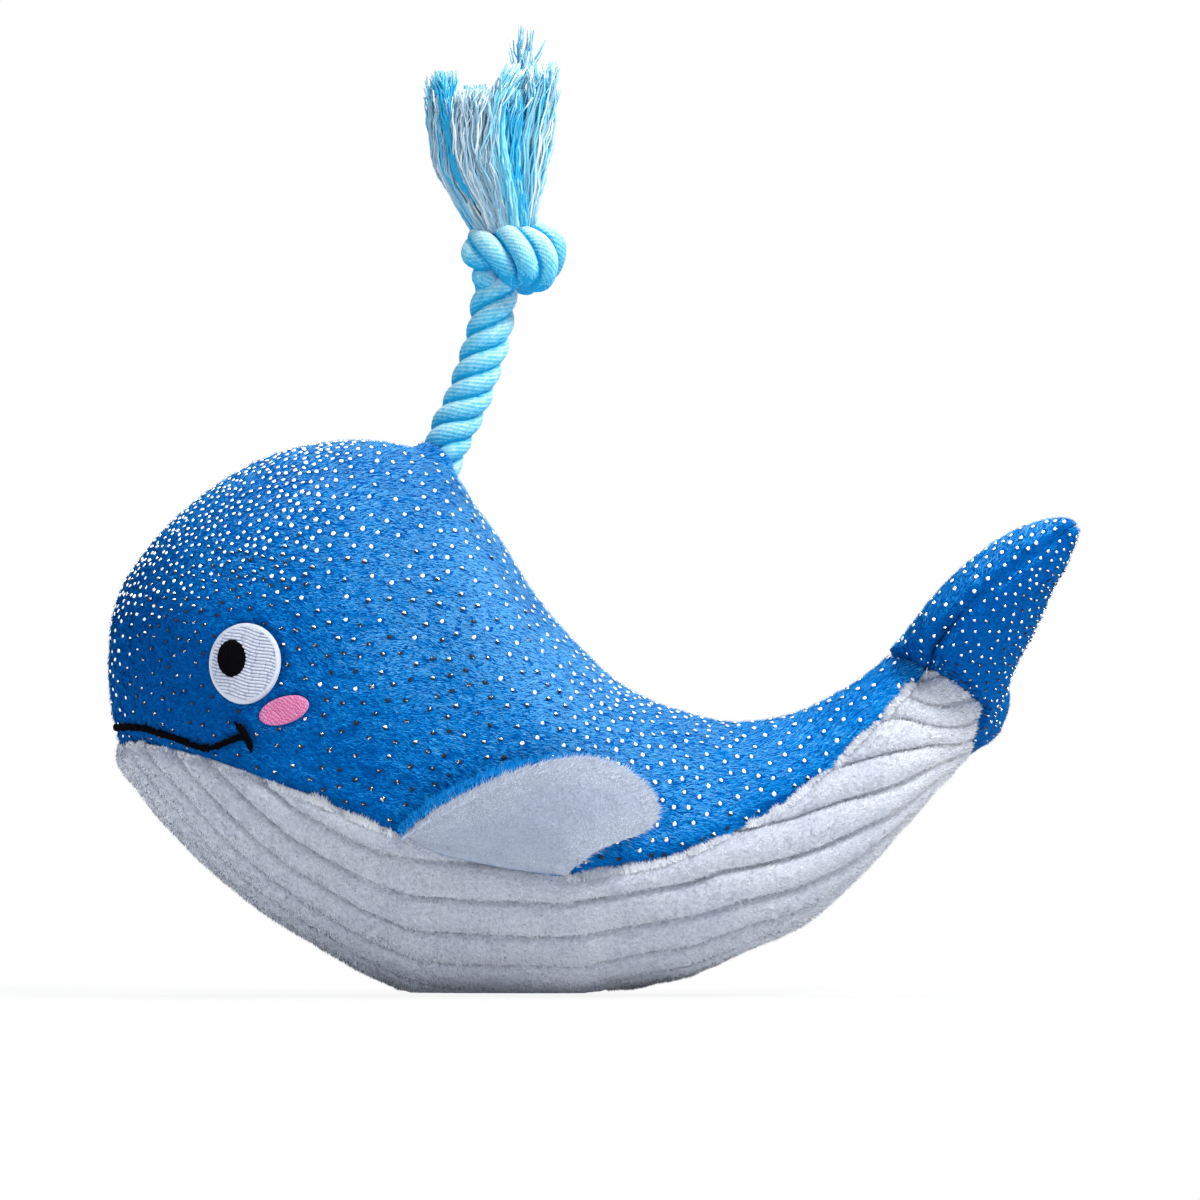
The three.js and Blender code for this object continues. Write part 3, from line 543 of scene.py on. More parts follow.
def strand_mesh(heap, cores, radii, twists, sides, fuzz_seed=None):
    """Strands lying against each other, with yarn grooves and loose ends; painted highlight on top, painted shade
    below and where two meet.
    """
    angle = 2 * np.pi * np.arange(sides) / sides
    for i, (core, radius, twist) in enumerate(zip(cores, radii, twists)):
        groove = np.abs(np.sin(YARNS / 2 * (angle + twist[:, None]))) ** 0.7
        pts, tris = tube(core, radius[:, None] * (1.02 + 0.08 * (groove - 0.7)), sides)
        others = [k for k in range(len(cores)) if k != i]
        tree = near_tree(np.concatenate([cores[k][::4] for k in others]))
        other_radii = np.concatenate([radii[k][::4] for k in others])
        gap = np.array([far - other_radii[k] for _, k, far in map(tree.find, pts)])
        face = unit(np.cross(pts[tris[:, 1]] - pts[tris[:, 0]], pts[tris[:, 2]] - pts[tris[:, 0]]))
        # Painted light and shade: pale where a face looks up, deep where it looks down or lies close to another
        # strand
        up = -face[:, 2] - 0.25 * face[:, 0]
        close = np.clip(1 - gap[tris].mean(1) / (1.6 * MM), 0, 1)
        painted_light_and_shade = 0.60 - 0.66 * up + 0.9 * close + 0.16 * noise(pts[tris[:, 0]], 0.0007, 17)
        heap.add(pts, tris, np.digitize(painted_light_and_shade, LIGHT_AND_SHADE_STEPS))
        if fuzz_seed is not None:
            path = core[np.clip(np.arange(len(pts)) // sides, 0, len(core) - 1)]
            fuzz(heap, pts, unit(pts - path), int(len(core) * 2.2), 1.1 * MM, 0.10 * MM, fuzz_seed + i)


def laid_rope(heap, points, diameter, lay, phase=0.0, step=0.0005, sides=98, taper=None, fuzz_seed=None):
    """Three strands twisted right-handed about a path, each with its own yarns."""
    path, s = spline(points, step)
    normal, binormal = carried_frame(path, [0.0, 1.0, 0.0])
    big = diameter / 2 * (np.ones(len(s)) if taper is None else taper(s / s[-1]))
    strand = big / 2.1547
    offset = (big - strand)[:, None]
    cores = []
    for k in range(3):
        turn = (2 * np.pi * (s / lay + k / 3) + phase)[:, None]
        cores.append(path + offset * (normal * np.cos(turn) + binormal * np.sin(turn)))
    strand_mesh(heap, cores, [strand * 1.06] * 3, [2 * np.pi * s / lay * 1.6] * 3, sides, fuzz_seed)
    return path, s


ROPE_ROUTE = BLOWHOLE + MM * np.array([
    (-1.5, 0, -7), (-1.4, 0, -3), (-1.1, 0, 0), (0.4, 0, 7.9), (5.9, 0, 19.4), (9.8, 0, 30.8), (12.3, 0, 39.4),
    (13.8, 0, 50), (16, 0, 57), (17.8, 0, 64), (18.4, 0, 70.5)])
ROPE_LAY = 0.0215


def rope_taper(t):
    """Full size where it is seen, squeezed inside the knot and inside the seam."""
    return 1 - 0.28 * smooth((t - 0.74) / 0.1) - 0.18 * smooth((0.19 - t) / 0.1)


heap = Heap()
rope_path, rope_run = laid_rope(heap, ROPE_ROUTE, ROPE_DIAMETER, ROPE_LAY, 0.6, taper=rope_taper, fuzz_seed=300)
rope = heap.make("rope", ROPES)


# The knot
def from_knot(points):
    """Places given in mm across, deep and up from the middle of the knot."""
    return KNOT + np.asarray(points, float) * MM


# Each row is one strand where it shows on the knot: front ones first, then the far side
KNOT_STRANDS = [
    [(-9.6, 5, 4.5), (-10.0, 0, 6.2), (-9.7, -4.0, 5.6), (-7.6, -8.0, 3.8), (-4.7, -9.6, 0.8),
     (-2.2, -8.4, -2.5), (-0.4, -4, -5), (1, 1, -6)],
    [(-3.9, 5, 6.8), (-4.0, 0, 7.8), (-2.8, -5.0, 7.5), (-0.2, -9.4, 5.2), (2.5, -11.6, 1.4),
     (4.1, -11.2, -2.7), (4.0, -8.6, -4.4), (2.4, -3, -5)],
    [(0.4, -3, 6.6), (3.5, -7, 6.0), (7.0, -9.0, 4.0), (9.1, -9.9, 0.6), (9.3, -9.3, -2.9),
     (7.9, -7.6, -5.9), (5.6, -4.5, -6.3), (3, -1, -5.5)],
    [(1.0, 3, 6), (3.6, -1, 7.2), (7.0, -3.6, 7.6), (10.3, -4.6, 6.3), (11.7, -3.6, 3.4),
     (11.3, -1, 0.0), (9.6, 3, -2.9), (6, 6, -4)],
    [(-7.9, 2, 4.9), (-10.5, -1.5, 4.0), (-11.9, -4.2, 2.1), (-11.4, -5.4, 0.6), (-9.1, -5.2, 0.0),
     (-6.2, -1.5, -0.3)],
    [(-5.6, 0, -2.0), (-8.2, -2.6, -3.7), (-8.9, -3.6, -5.2), (-7.6, -3.0, -6.6), (-5.0, 0, -7.5)],
    [(-8.5, 4.5, 4.2), (-5.5, 9.0, 5.0), (-0.5, 10.8, 1.6), (4.6, 10.2, -2.6), (8.6, 6.6, -5)],
    [(-10.2, 4.8, -1.0), (-6.6, 8.8, -3.4), (-1.6, 10.0, -5.2), (2.8, 8.0, -6.8), (5, 4, -7)],
    [(-4.6, 4, 7.0), (0.2, 8.8, 7.2), (5.4, 9.4, 4.2), (9.6, 6.4, 0.8), (11.0, 2.6, -1.4)],
]
STRAND_RADIUS, STRAND_TWIST = 3.15 * MM, 0.018
heap = Heap()
lines, runs = zip(*(spline(from_knot(row), 0.45 * MM) for row in KNOT_STRANDS))
slim = [1 - 0.35 * np.clip(1 - np.minimum(run, run[-1] - run) / (3 * MM), 0, 1) for run in runs]
strand_mesh(heap, lines, [STRAND_RADIUS * s for s in slim], [2 * np.pi * run / STRAND_TWIST for run in runs], 98,
            fuzz_seed=320)
# A core ball in the deep rope tone: painted shade seen through the gaps between strands
heap.add(*ball(from_knot([0, 0, 0.6]), np.array([10.4, 8.5, 7.4]) * MM, 16), which=3)
knot = heap.make("knot", ROPES)

# The frayed end
TASSEL_TOP = 0.2765
LOCK_TINT = np.array([1.0, 0.55, 1.1, 1.0])
# Locks: shares of silver, white, aqua and cyan; threads; spread at foot and tip; points in mm from the foot
LOCKS = [
    ((0.1, 0.1, 0.4, 0.4), 60, 2.0, 3.2,
     [(-6.5, -2, -3), (-9.8, -4, 7), (-15.0, -6, 16), (-18.0, -6, 25), (-18.6, -5, 35), (-18.4, -4, 42)]),
    ((0.6, 0.2, 0.1, 0.1), 80, 2.0, 3.6,
     [(-4.5, -5, -3), (-9.5, -7, 6), (-14.5, -8.4, 15), (-16.8, -8, 25), (-16.6, -7, 34), (-16.0, -6, 39)]),
    ((0.0, 0.0, 0.1, 0.9), 90, 1.2, 2.4,
     [(-4.5, -5, 4), (-8.4, -9, 10), (-11.6, -10.4, 17), (-14.2, -10, 26), (-15.8, -8.6, 34), (-17.6, -7, 43.5)]),
    ((0.62, 0.36, 0.02, 0.0), 110, 1.8, 4.4,
     [(-1.5, -6, -3), (-4.0, -9.5, 7), (-7.6, -11, 15), (-10.2, -11, 24), (-10.8, -10, 32), (-10.0, -9, 38)]),
    ((0.66, 0.24, 0.10, 0.0), 120, 1.8, 5.0,
     [(1.0, -6.5, -3), (-1.0, -10, 8), (-3.4, -11.6, 18), (-4.6, -11.4, 28), (-4.4, -10, 36), (-3.6, -9, 39)]),
    ((0.02, 0.13, 0.75, 0.1), 70, 1.4, 2.2,
     [(3.4, -6.5, -3), (2.4, -10.4, 6), (0.8, -12.2, 15), (-0.8, -12.4, 24), (-0.6, -11.4, 33), (2.4, -10, 41),
      (4.4, -9, 45.5)]),
    ((0.0, 0.05, 0.25, 0.7), 60, 1.6, 2.6,
     [(5.6, -5.5, -3), (4.8, -9, 6), (3.6, -10.2, 14), (3.4, -9.6, 24), (4.2, -8, 32), (4.6, -7, 38)]),
    ((0.15, 0.2, 0.5, 0.15), 90, 1.6, 4.6,
     [(7.2, -4, -3), (8.0, -7, 6), (8.6, -8.4, 15), (9.8, -8, 25), (11.4, -6.4, 34), (12.2, -5, 46)]),
    ((0.45, 0.3, 0.25, 0.0), 60, 1.2, 2.8,
     [(8.0, -2, -2), (9.6, -4, 8), (11.8, -4.6, 17), (13.6, -4, 27), (13.8, -3, 38)]),
    ((0.1, 0.25, 0.45, 0.2), 26, 1.2, 3.0,
     [(4, -3, 5), (4.0, -5, 20), (3.4, -4.6, 34), (7.0, -3.4, 45), (7.8, -2.2, 57)]),
    ((0.3, 0.2, 0.3, 0.2), 90, 2.6, 7.0, [(0, 0, -3), (-1.5, 0, 12), (-4.0, 0, 24), (-4.6, 0, 38)]),
    ((0.2, 0.2, 0.5, 0.1), 80, 2.0, 4.4, [(6.5, 3, -3), (7.6, 6, 8), (9.4, 7, 20), (11, 6, 38)]),
    ((0.6, 0.3, 0.1, 0.0), 90, 2.0, 5.0, [(2.0, 5, -3), (1.6, 9, 8), (0.8, 10.6, 20), (0.4, 10, 37)]),
    ((0.05, 0.05, 0.3, 0.6), 70, 1.6, 3.4, [(-1.5, 5, -3), (-3.4, 9.6, 8), (-6.0, 11, 20), (-7.2, 10, 40)]),
    ((0.6, 0.34, 0.06, 0.0), 90, 2.0, 4.6, [(-4.5, 3.5, -3), (-8.6, 7.4, 8), (-12.6, 9, 20), (-13.6, 8, 38)]),
    ((0.1, 0.1, 0.6, 0.2), 60, 2.0, 3.6, [(-6.4, 1, -3), (-10.8, 2.6, 8), (-16.4, 3.4, 20), (-17.4, 3, 40)]),
]
# How many of the threads and fibres a quick scene keeps
KEPT = 1


def tassel():
    rng = np.random.default_rng(11)
    heap = Heap()
    steps = 15
    for mix, count, narrow, wide, points in LOCKS:
        points = np.array(points, float)
        points[:, 0] -= 3.3 + 0.035 * (points[:, 0] + 18) * smooth(points[:, 2] / 26)
        points[:, 0] -= 1.9 * bell(points[:, 2], 11, 10) * (points[:, 0] < -6)
        line, _ = spline(TASSEL_BASE + points * MM, 0.2 * MM)
        shares = np.array(mix) * LOCK_TINT
        for i in range(int(count * KEPT)):
            length = 1 - 0.16 * rng.uniform() ** 1.6
            t = np.linspace(0, length, steps)
            spot = between(t * (len(line) - 1), np.arange(len(line)), line)
            r, turn = np.sqrt(rng.uniform()), rng.uniform(0, 2 * np.pi)
            out = (narrow + (wide - narrow) * smooth(t * 1.2)) * MM * r
            twist = turn + 1.4 * t + 0.35 * np.sin(6 * t + i)
            spot = spot + np.stack([np.cos(twist) * out, np.sin(twist) * out * 0.7, 0 * t], -1)
            wave = rng.uniform(0.15, 0.5) * MM * np.sin(2 * np.pi * (t * rng.uniform(3, 5.5) + rng.uniform()))
            tip = smooth((t / length - 0.82) / 0.18) * rng.normal() * 1.4 * MM
            spot[:, 0] += wave + tip
            spot[:, 1] += wave * rng.uniform(-1, 1) + tip * rng.uniform(-1, 1)
            spot[:, 2] = np.minimum(spot[:, 2], TASSEL_TOP)
            which = rng.choice(4, p=shares / shares.sum())
            thin = (0.25 + 0.10 * rng.uniform()) * MM * (1.15 if which > 1 else 1) * (1 - 0.45 * (t / length) ** 5)
            pts, tris = tube(spot, thin[:, None], 4)
            worn = rng.uniform(0.3, 4.5) * MM * (0.5 if which == 0 else 1)
            pale = (1, 1, 1 if i % 3 else 2, 2)[which]
            heap.add(pts, tris, np.where(pts[tris].mean(1)[:, 2] > spot[-1, 2] - worn, pale, which))
    return heap.make("tassel", THREADS)


frayed_end = tassel()
for piece, node in ((rope, "rope_spout"), (knot, "rope_knot"), (frayed_end, "rope_tassel")):
    dress(piece, "rope", node)

# Body skins
# where the skins begin, and where they end at each angle
NOSE = 0.002
END_ANGLES = np.radians([0, 60, 106, 150, 174, 194, 250, 300, 360])
END_SHARES = np.array([0.955, 0.962, 0.979, 0.990, 0.992, 0.962, 0.935, 0.945, 0.955])
SEAM_DEPTH, SEAM_WIDTH = 1.5 * MM, 2.3 * MM
RIB_PITCH, RIB_RISE = 0.0118, 2.7 * MM
GROOVE_DEPTH, GROOVE_WIDTH = 0.8 * MM, 0.6 * MM
RIB_SHIFT_AT = np.array([0.0, 0.1, 0.2, 0.25, 0.3, 0.56, 0.62, 0.66, 0.69, 0.72, 0.757, 0.79, 0.82, 0.845, 0.88,
                         0.91, 0.965, 1.0])
RIB_SHIFT = np.array([2, 2, 3, 3, 0.5, 0.5, -1.5, -4.5, -7, -11.5, -18, -25, -33, -41, -52, -62, -84, -94]) * MM
COLLAR_RISE, COLLAR_RADIUS, COLLAR_WIDTH = 3.0 * MM, 7.6 * MM, 2.2 * MM

EYE = np.array([-0.322, 0.593]) * BODY_SIDE
EYE_SIZE, EYE_TILT = np.array([0.0198, 0.0226]), math.radians(-8)
PUPIL, PUPIL_SIZE = EYE + np.array([-3.3, 1.45]) * MM, np.array([8.3, 10.8]) * MM
CHEEK = np.array([-0.2775, 0.5095]) * BODY_SIDE
CHEEK_SIZE, CHEEK_TILT = np.array([0.0143, 0.0075]), math.radians(18)
MOUTH_SHARES = np.array([[-0.323, 0.462], [-0.331, 0.460], [-0.341, 0.454], [-0.354, 0.445], [-0.367, 0.441],
                         [-0.381, 0.446], [-0.396, 0.455], [-0.418, 0.466], [-0.438, 0.474], [-0.459, 0.477]])
TICK_SHARES = np.array([[-0.334, 0.489], [-0.327, 0.477], [-0.3215, 0.464], [-0.317, 0.449], [-0.3145, 0.434]])
MOUTH_FRONT = 0.476 * BODY_HEIGHT


def oval_distance(points, place, size, tilt):
    """Distance outside an oval's edge, below zero inside it."""
    dx, dz = points[..., 0] - place[0], points[..., 2] - place[1]
    a = (dx * np.cos(tilt) + dz * np.sin(tilt)) / (size[0] / 2)
    b = (dz * np.cos(tilt) - dx * np.sin(tilt)) / (size[1] / 2)
    return (np.hypot(a, b) - 1) * size.min() / 2


def on_side(shares, count, side):
    """Shares and angles of a line given on the head's side."""
    xz = rows_at(shares, np.linspace(0, 1, count)) * BODY_SIDE
    return side_place(xz[:, 0], xz[:, 1], side)


def whole_mouth():
    """Shares and angles of the mouth's line from the near corner round the front to the far corner."""
    (share_a, angle_a), (share_b, angle_b) = (on_side(MOUTH_SHARES, 60, side) for side in (1, -1))
    front = np.linspace(angle_a[-1], -angle_a[-1], 60)[1:-1]
    low, high = np.zeros_like(front), np.full_like(front, 0.3)
    for _ in range(30):
        mid = (low + high) / 2
        under = body_point(mid, front)[:, 2] < MOUTH_FRONT
        low, high = np.where(under, mid, low), np.where(under, high, mid)
    return np.concatenate([share_a, low, share_b[::-1]]), np.concatenate([angle_a, front, angle_b[::-1]])


MOUTH_LINES = [whole_mouth()] + [on_side(TICK_SHARES, 16, side) for side in (1, -1)]
mouth_tree = near_tree(np.concatenate([body_point(*line) for line in MOUTH_LINES]))


def from_mouth(points):
    """Distance from the mouth's line, worked out only near it."""
    out = np.ones(points.shape[:-1])
    x, z = points[..., 0], points[..., 2]
    near = (x < -0.072) & (z > 0.062) & (z < 0.085)
    out[near] = distances(mouth_tree, points[near])
    return out


def from_embroidery(points):
    """Distance from the nearest eye, cheek or mouth stitch."""
    eye = oval_distance(points, EYE, EYE_SIZE, EYE_TILT)
    cheek = oval_distance(points, CHEEK, CHEEK_SIZE, CHEEK_TILT)
    return np.minimum(np.minimum(eye, cheek), from_mouth(points) - 0.9 * MM)


def snout(x):
    """1 at the front of the head, 0 behind it."""
    return smooth((-0.104 - x) / 0.010)


def belly_relief(p, share, across, calm):
    """The belly's ribs, and where it is drawn in at the chin, ahead of the fins and behind them."""
    q = across - np.interp(share, RIB_SHIFT_AT, RIB_SHIFT)
    q = q + 0.9 * MM * noise(p, 0.030, 31) + 0.45 * MM * noise(p, 0.011, 32)
    from_groove = np.abs(np.mod(q / RIB_PITCH, 1) - 0.5) * RIB_PITCH
    crown = np.sqrt(np.clip(1 - (1 - from_groove / (RIB_PITCH / 2)) ** 2, 0, 1))
    fold = 0.85 + 0.25 * noise(p, 0.02, 33) + 0.45 * smooth((share - 0.55) / 0.25)
    fold = fold - 0.75 * smooth((share - 0.86) / 0.08)
    rib = (crown - 0.82) * RIB_RISE * fold - GROOVE_DEPTH * bell(from_groove, 0, GROOVE_WIDTH)
    x, z = p[..., 0], p[..., 2]
    return rib * np.clip(calm + 0.12, 0, 1) * smooth(share / 0.06) \
        - 0.5 * MM * snout(x) * smooth((0.071 - z) / 0.010) \
        - 1.7 * MM * smooth((-0.032 - x) / 0.010) * smooth((x + 0.082) / 0.026) * smooth((0.050 - z) / 0.016) \
        - 1.5 * MM * smooth((x - 0.012) / 0.014) * smooth((0.047 - x) / 0.013) * smooth((0.030 - z) / 0.012)


def back_relief(p):
    """The cloth drawn in at the mouth's front and under the embroidery, and its collar round the rope."""
    x, z = p[..., 0], p[..., 2]
    drawn = 0.9 * MM * snout(x) * smooth((0.093 - z) / 0.016)
    drawn = drawn + 0.7 * MM * (1 - smooth(from_embroidery(p) / (2.2 * MM))) * (x < FACE_END)
    hole = np.linalg.norm(p[..., :2] - BLOWHOLE[:2], axis=-1)
    ahead = smooth((BLOWHOLE[0] + 4 * MM - x) / (6 * MM))
    collar = COLLAR_RISE * bell(hole, COLLAR_RADIUS, COLLAR_WIDTH) * ahead
    sunk = 1.2 * MM * bell(hole, 9 * MM, 5 * MM) * (1 - ahead)
    return (collar - sunk) * (z > HOLE_LOW) - drawn


def body_panel(name, edges, rows, columns, mat, end_run, end_tuck):
    """One sewn panel of the body, with its seams pulled in, its relief, and the sag and lumps of loose filling.
    Each edge is an angle and how many seam angles are added to it."""
    v = np.linspace(0, 1, columns)[None, :]
    u = np.linspace(0, 1, rows)[:, None] ** 1.08
    share = NOSE + 0.97 * u + 0 * v
    for _ in range(4):
        first, last = (start + times * section(share)[3] for start, times in edges)
        angle = first + (last - first) * v
        end = np.interp(np.mod(angle, 2 * np.pi), END_ANGLES, END_SHARES)
        share = NOSE + (end - NOSE) * u
    p, n = body_point(share, angle), body_normal(share, angle)
    steps = np.linalg.norm(np.diff(p, axis=1), axis=2)
    around = np.concatenate([np.zeros((rows, 1)), np.cumsum(steps, 1)], 1)
    total = around[:, -1:]
    edge = np.minimum(around, total - around)
    lumps = (noise(p, 0.034, 3) * 0.8 + noise(p, 0.016, 5) * 0.35) * MM
    nap = (noise(p, 0.0022, 8) * 0.16 + noise(p * [1, 1, 1.6], 0.0011, 9) * 0.10) * MM
    calm = smooth(p[..., 2] / 0.010)
    pucker = 1 + 0.35 * noise(p, 0.006, 21)
    seam_in = SEAM_DEPTH * bell(edge, 0, SEAM_WIDTH) * pucker
    lift = lumps * calm + nap - seam_in * np.clip(calm + 0.2, 0, 1) - 1.0 * MM * calm
    lift = lift + 0.55 * MM * bell(edge, 5.5 * MM, 3.2 * MM) * calm
    lift = lift + (belly_relief(p, share, total / 2 - around, calm) if name == "belly" else back_relief(p))
    tuck = (1 - smooth((end - share) / end_run)) * end_tuck
    q = p + n * lift[..., None] + unit(section(share)[0] - p) * tuck[..., None]
    q[..., 2] = np.maximum(q[..., 2], 0.0002)
    return add_mesh(name, q.reshape(-1, 3), grid_faces(rows, columns)[:, ::-1], [mat]), q


FINE = 1.0
TURN = 2 * np.pi
skins, grids = [], {}
for name, edges, rows, columns, mat, end_run, end_tuck, slot, node in (
        ("back_left", ((0, 0), (0, 1)), 400, 150, BLUE_SKIN, 0.010, 3.2, "blue_plush", "back_panel_left"),
        ("back_right", ((TURN, -1), (TURN, 0)), 400, 150, BLUE_SKIN, 0.010, 3.2, "blue_plush", "back_panel_right"),
        ("belly", ((0, 1), (TURN, -1)), 420, 210, WHITE_SKIN, 0.004, 1.6, "white_plush", "belly_panel")):
    rows, columns = int(rows * FINE), int(columns * FINE)
    skin, grids[name] = body_panel(name, edges, rows, columns, mat, end_run, end_tuck * MM)
    dress(skin, None, node)
    skins.append(skin)


# Fluke
def fluke_point(a, b, c):
    """From the fluke's own axes (across to the near side, back, up from its plane) to the frame."""
    return PIVOT + a[..., None] * ACROSS + b[..., None] * TAIL + c[..., None] * NORMAL


def fluke_axes(p):
    d = p - PIVOT
    return d @ ACROSS, d @ TAIL, d @ NORMAL


def arch(a):
    t = np.clip(np.abs(a) / (FLUKE_SPAN / 2), 0, 1)
    return np.interp(t, np.append(0, LOBE_ROWS[:, 0]), np.append(0, LOBE_ROWS[:, 2])) * FLUKE_REACH


def flat_lobe(side, steps=60, sides=40):
    """Closed tube of one lobe in the fluke's own axes, laid flat."""
    rows = rows_at(LOBE_ROWS, np.linspace(0, 1, steps))
    # the near lobe is fuller than the far one and lies further forward
    ahead, fuller, plumper, span = (0.025, 0.08, 0.09, 1.0) if side > 0 else (-0.045, -0.03, 0.0, 0.94)
    swell, plump = bell(rows[:, 0], 0.50, 0.24), bell(rows[:, 0], 0.69, 0.16)
    rows[:, 1] -= ahead * swell
    rows[:, 3] *= 1 + fuller * swell
    rows[:, 4] *= 1 + plumper * plump - 0.20 * smooth((rows[:, 0] - 0.80) / 0.14)
    middle = np.stack([side * rows[:, 0] * FLUKE_SPAN * span / 2, rows[:, 1] * FLUKE_REACH, 0 * rows[:, 0]], -1)
    along = unit(np.gradient(middle, axis=0))
    across = np.stack([-along[:, 1], along[:, 0], 0 * along[:, 0]], -1)
    turn = 2 * np.pi * np.arange(sides) / sides
    wide = (rows[:, 3] * LOBE_WIDTH / 2)[:, None, None] * np.cos(turn)[None, :, None]
    thick = (rows[:, 4] * LOBE_THICKNESS / 2)[:, None, None] * np.sin(turn)[None, :, None]
    p = middle[:, None] + across[:, None] * wide + np.array([0, 0, 1.0]) * thick
    pts = np.concatenate([p.reshape(-1, 3), middle[:1], middle[-1:]])
    caps = cap_faces(steps, sides)[:, [0, 2, 1, 1]]
    tris = triangles(np.concatenate([grid_faces(steps, sides, wrap=True), caps]))
    return pts, tris[:, ::side]


def fused(parts, voxel):
    """One smooth closed surface round several overlapping ones."""
    heap = Heap()
    for pts, tris in parts:
        heap.add(pts, tris)
    obj = heap.make("fluke_form", [])
    remesh = obj.modifiers.new("fuse", "REMESH")
    remesh.mode, remesh.voxel_size = "VOXEL", voxel
    soften = obj.modifiers.new("soften", "SMOOTH")
    soften.factor, soften.iterations = 0.7, 4
    graph = bpy.context.evaluated_depsgraph_get()
    mesh = bpy.data.meshes.new_from_object(obj.evaluated_get(graph))
    bpy.data.objects.remove(obj)
    return mesh


def half_of(mesh, side):
    """Places, normals and triangles of what lies above (1) or below (-1) the fluke's plane."""
    bm = bmesh.new()
    bm.from_mesh(mesh)
    bmesh.ops.bisect_plane(bm, geom=bm.verts[:] + bm.edges[:] + bm.faces[:], plane_co=(0, 0, 0),
                           plane_no=(0, 0, side), clear_inner=True, dist=1e-7)
    half = bpy.data.meshes.new("half")
    bm.to_mesh(half)
    bm.free()
    half.calc_loop_triangles()
    out = []
    for items, field, kind in ((half.vertices, "co", np.float32), (half.vertices, "normal", np.float32),
                               (half.loop_triangles, "vertices", np.int32)):
        values = np.empty(len(items) * 3, kind)
        items.foreach_get(field, values)
        out.append(values.reshape(-1, 3))
    return out[0].astype(float), out[1].astype(float), out[2]


def tail_skin():
    """The tail's skin ahead of its end: places, outward directions and how far each is ahead of the end."""
    turn = np.linspace(0, 2 * np.pi, 121)[None, :-1]
    end = np.interp(turn, END_ANGLES, END_SHARES)
    share = end + np.linspace(-0.22, 0, 60)[:, None]
    turn = turn + 0 * share
    return body_point(share, turn).reshape(-1, 3), body_normal(share, turn).reshape(-1, 3), (end - share).ravel()


TAIL_SKIN, TAIL_OUT, TAIL_AHEAD = tail_skin()
tail_tree = near_tree(TAIL_SKIN)
# Further back than this from the joint, nothing of the fluke is inside the tail
FLUKE_CLEAR = 0.030


def above_tail(p):
    """How far a place is outside the tail's skin, and which place of the skin is nearest."""
    j = tail_tree.find(p)[1]
    return np.dot(p - TAIL_SKIN[j], TAIL_OUT[j]), j


def tucked(points, limit):
    """Draws in what would stand out of the tail before the tail's end."""
    moved = points.copy()
    for i in np.flatnonzero(fluke_axes(points)[1] <= FLUKE_CLEAR):
        above, j = above_tail(points[i])
        if above > limit:
            moved[i] = points[i] - TAIL_OUT[j] * (above - limit) * smooth(TAIL_AHEAD[j] / 0.004)
    return moved


def clear_of_tail(points):
    """Which places of the fluke are not under the tail's skin."""
    clear = np.ones(len(points), bool)
    for i in np.flatnonzero(fluke_axes(points)[1] < FLUKE_CLEAR):
        above, j = above_tail(points[i])
        clear[i] = TAIL_AHEAD[j] <= 0.0005 or above >= 0.5 * MM
    return clear


def fluke_panel(form, side):
    """Places, triangles and rim of the upper (1) or under (-1) panel, its seam pulled in."""
    p, n, tris = half_of(form, side)
    high, out = np.abs(p[:, 2]), np.abs(p[:, 0])
    rim = high < 1e-6
    n[rim, 2] = 0
    seam = 4.0 * MM * np.exp(-(high / (1.5 * MM)) ** 1.4)
    puff = (1.3 if side > 0 else 0.3) * MM * bell(high, 5.5 * MM, 3.5 * MM)
    fade = 1 - 0.75 * smooth((out - 0.028) / 0.018)
    lift = noise(p, 0.020, 50 + side) * 0.7 * MM + noise(p, 0.0024, 52) * 0.15 * MM
    lift = lift + (puff - seam) * fade - 0.9 * MM + 2.0 * MM * smooth((out - 0.038) / 0.015)
    q = p + unit(n) * lift[:, None]
    return tucked(fluke_point(q[:, 0], q[:, 1], q[:, 2] + arch(p[:, 0])), -5.0 * MM), tris, rim


fluke_root = ball(np.array([0, 0.004, 0.0]), np.array([0.0195, 0.021, 0.0172]))
fluke_form = fused([flat_lobe(1), flat_lobe(-1), fluke_root], (0.8) * MM)
(upper_p, upper_t, upper_rim), (under_p, under_t, _) = (fluke_panel(fluke_form, side) for side in (1, -1))
fluke_upper = add_mesh("fluke_upper", upper_p, upper_t, [BLUE_SKIN])
fluke_under = add_mesh("fluke_under", under_p, under_t, [BLUE_SKIN])


# Fins
# root line, edge of the white layer and edge of the blue layer behind it, as shares of a fin's length and height
FIN_CORNER, FIN_SIZE = np.array([-0.0366, 0.0339]), np.array([0.0715, 0.0329])
FIN_ROOT, FIN_EDGE, FIN_BACK_EDGE = (FIN_CORNER + FIN_SIZE * np.array(shares) for shares in (
    [(0, 0.365), (0.104, 0.226), (0.188, 0.157), (0.304, 0.104), (0.40, 0.061), (0.484, 0.035), (0.576, 0.009),
     (0.656, 0)],
    [(0, 0.374), (0.076, 0.487), (0.156, 0.609), (0.24, 0.704), (0.32, 0.791), (0.404, 0.870), (0.484, 0.930),
     (0.564, 0.974), (0.648, 0.991), (0.728, 0.983), (0.804, 0.939), (0.88, 0.861), (0.952, 0.739), (0.992, 0.626),
     (1.0, 0.530), (0.984, 0.452), (0.944, 0.391), (0.88, 0.357), (0.82, 0.322), (0.756, 0.235), (0.704, 0.139),
     (0.656, 0.035)],
    [(-0.02, 0.40), (0.048, 0.539), (0.128, 0.670), (0.216, 0.774), (0.304, 0.861), (0.396, 0.939), (0.48, 0.991),
     (0.564, 1.017), (0.648, 1.017), (0.728, 1.009), (0.80, 0.965), (0.876, 0.887), (0.944, 0.765), (0.984, 0.652),
     (0.992, 0.557), (0.976, 0.478), (0.936, 0.417), (0.872, 0.374), (0.812, 0.339), (0.740, 0.252), (0.688, 0.155),
     (0.650, 0.075)]))


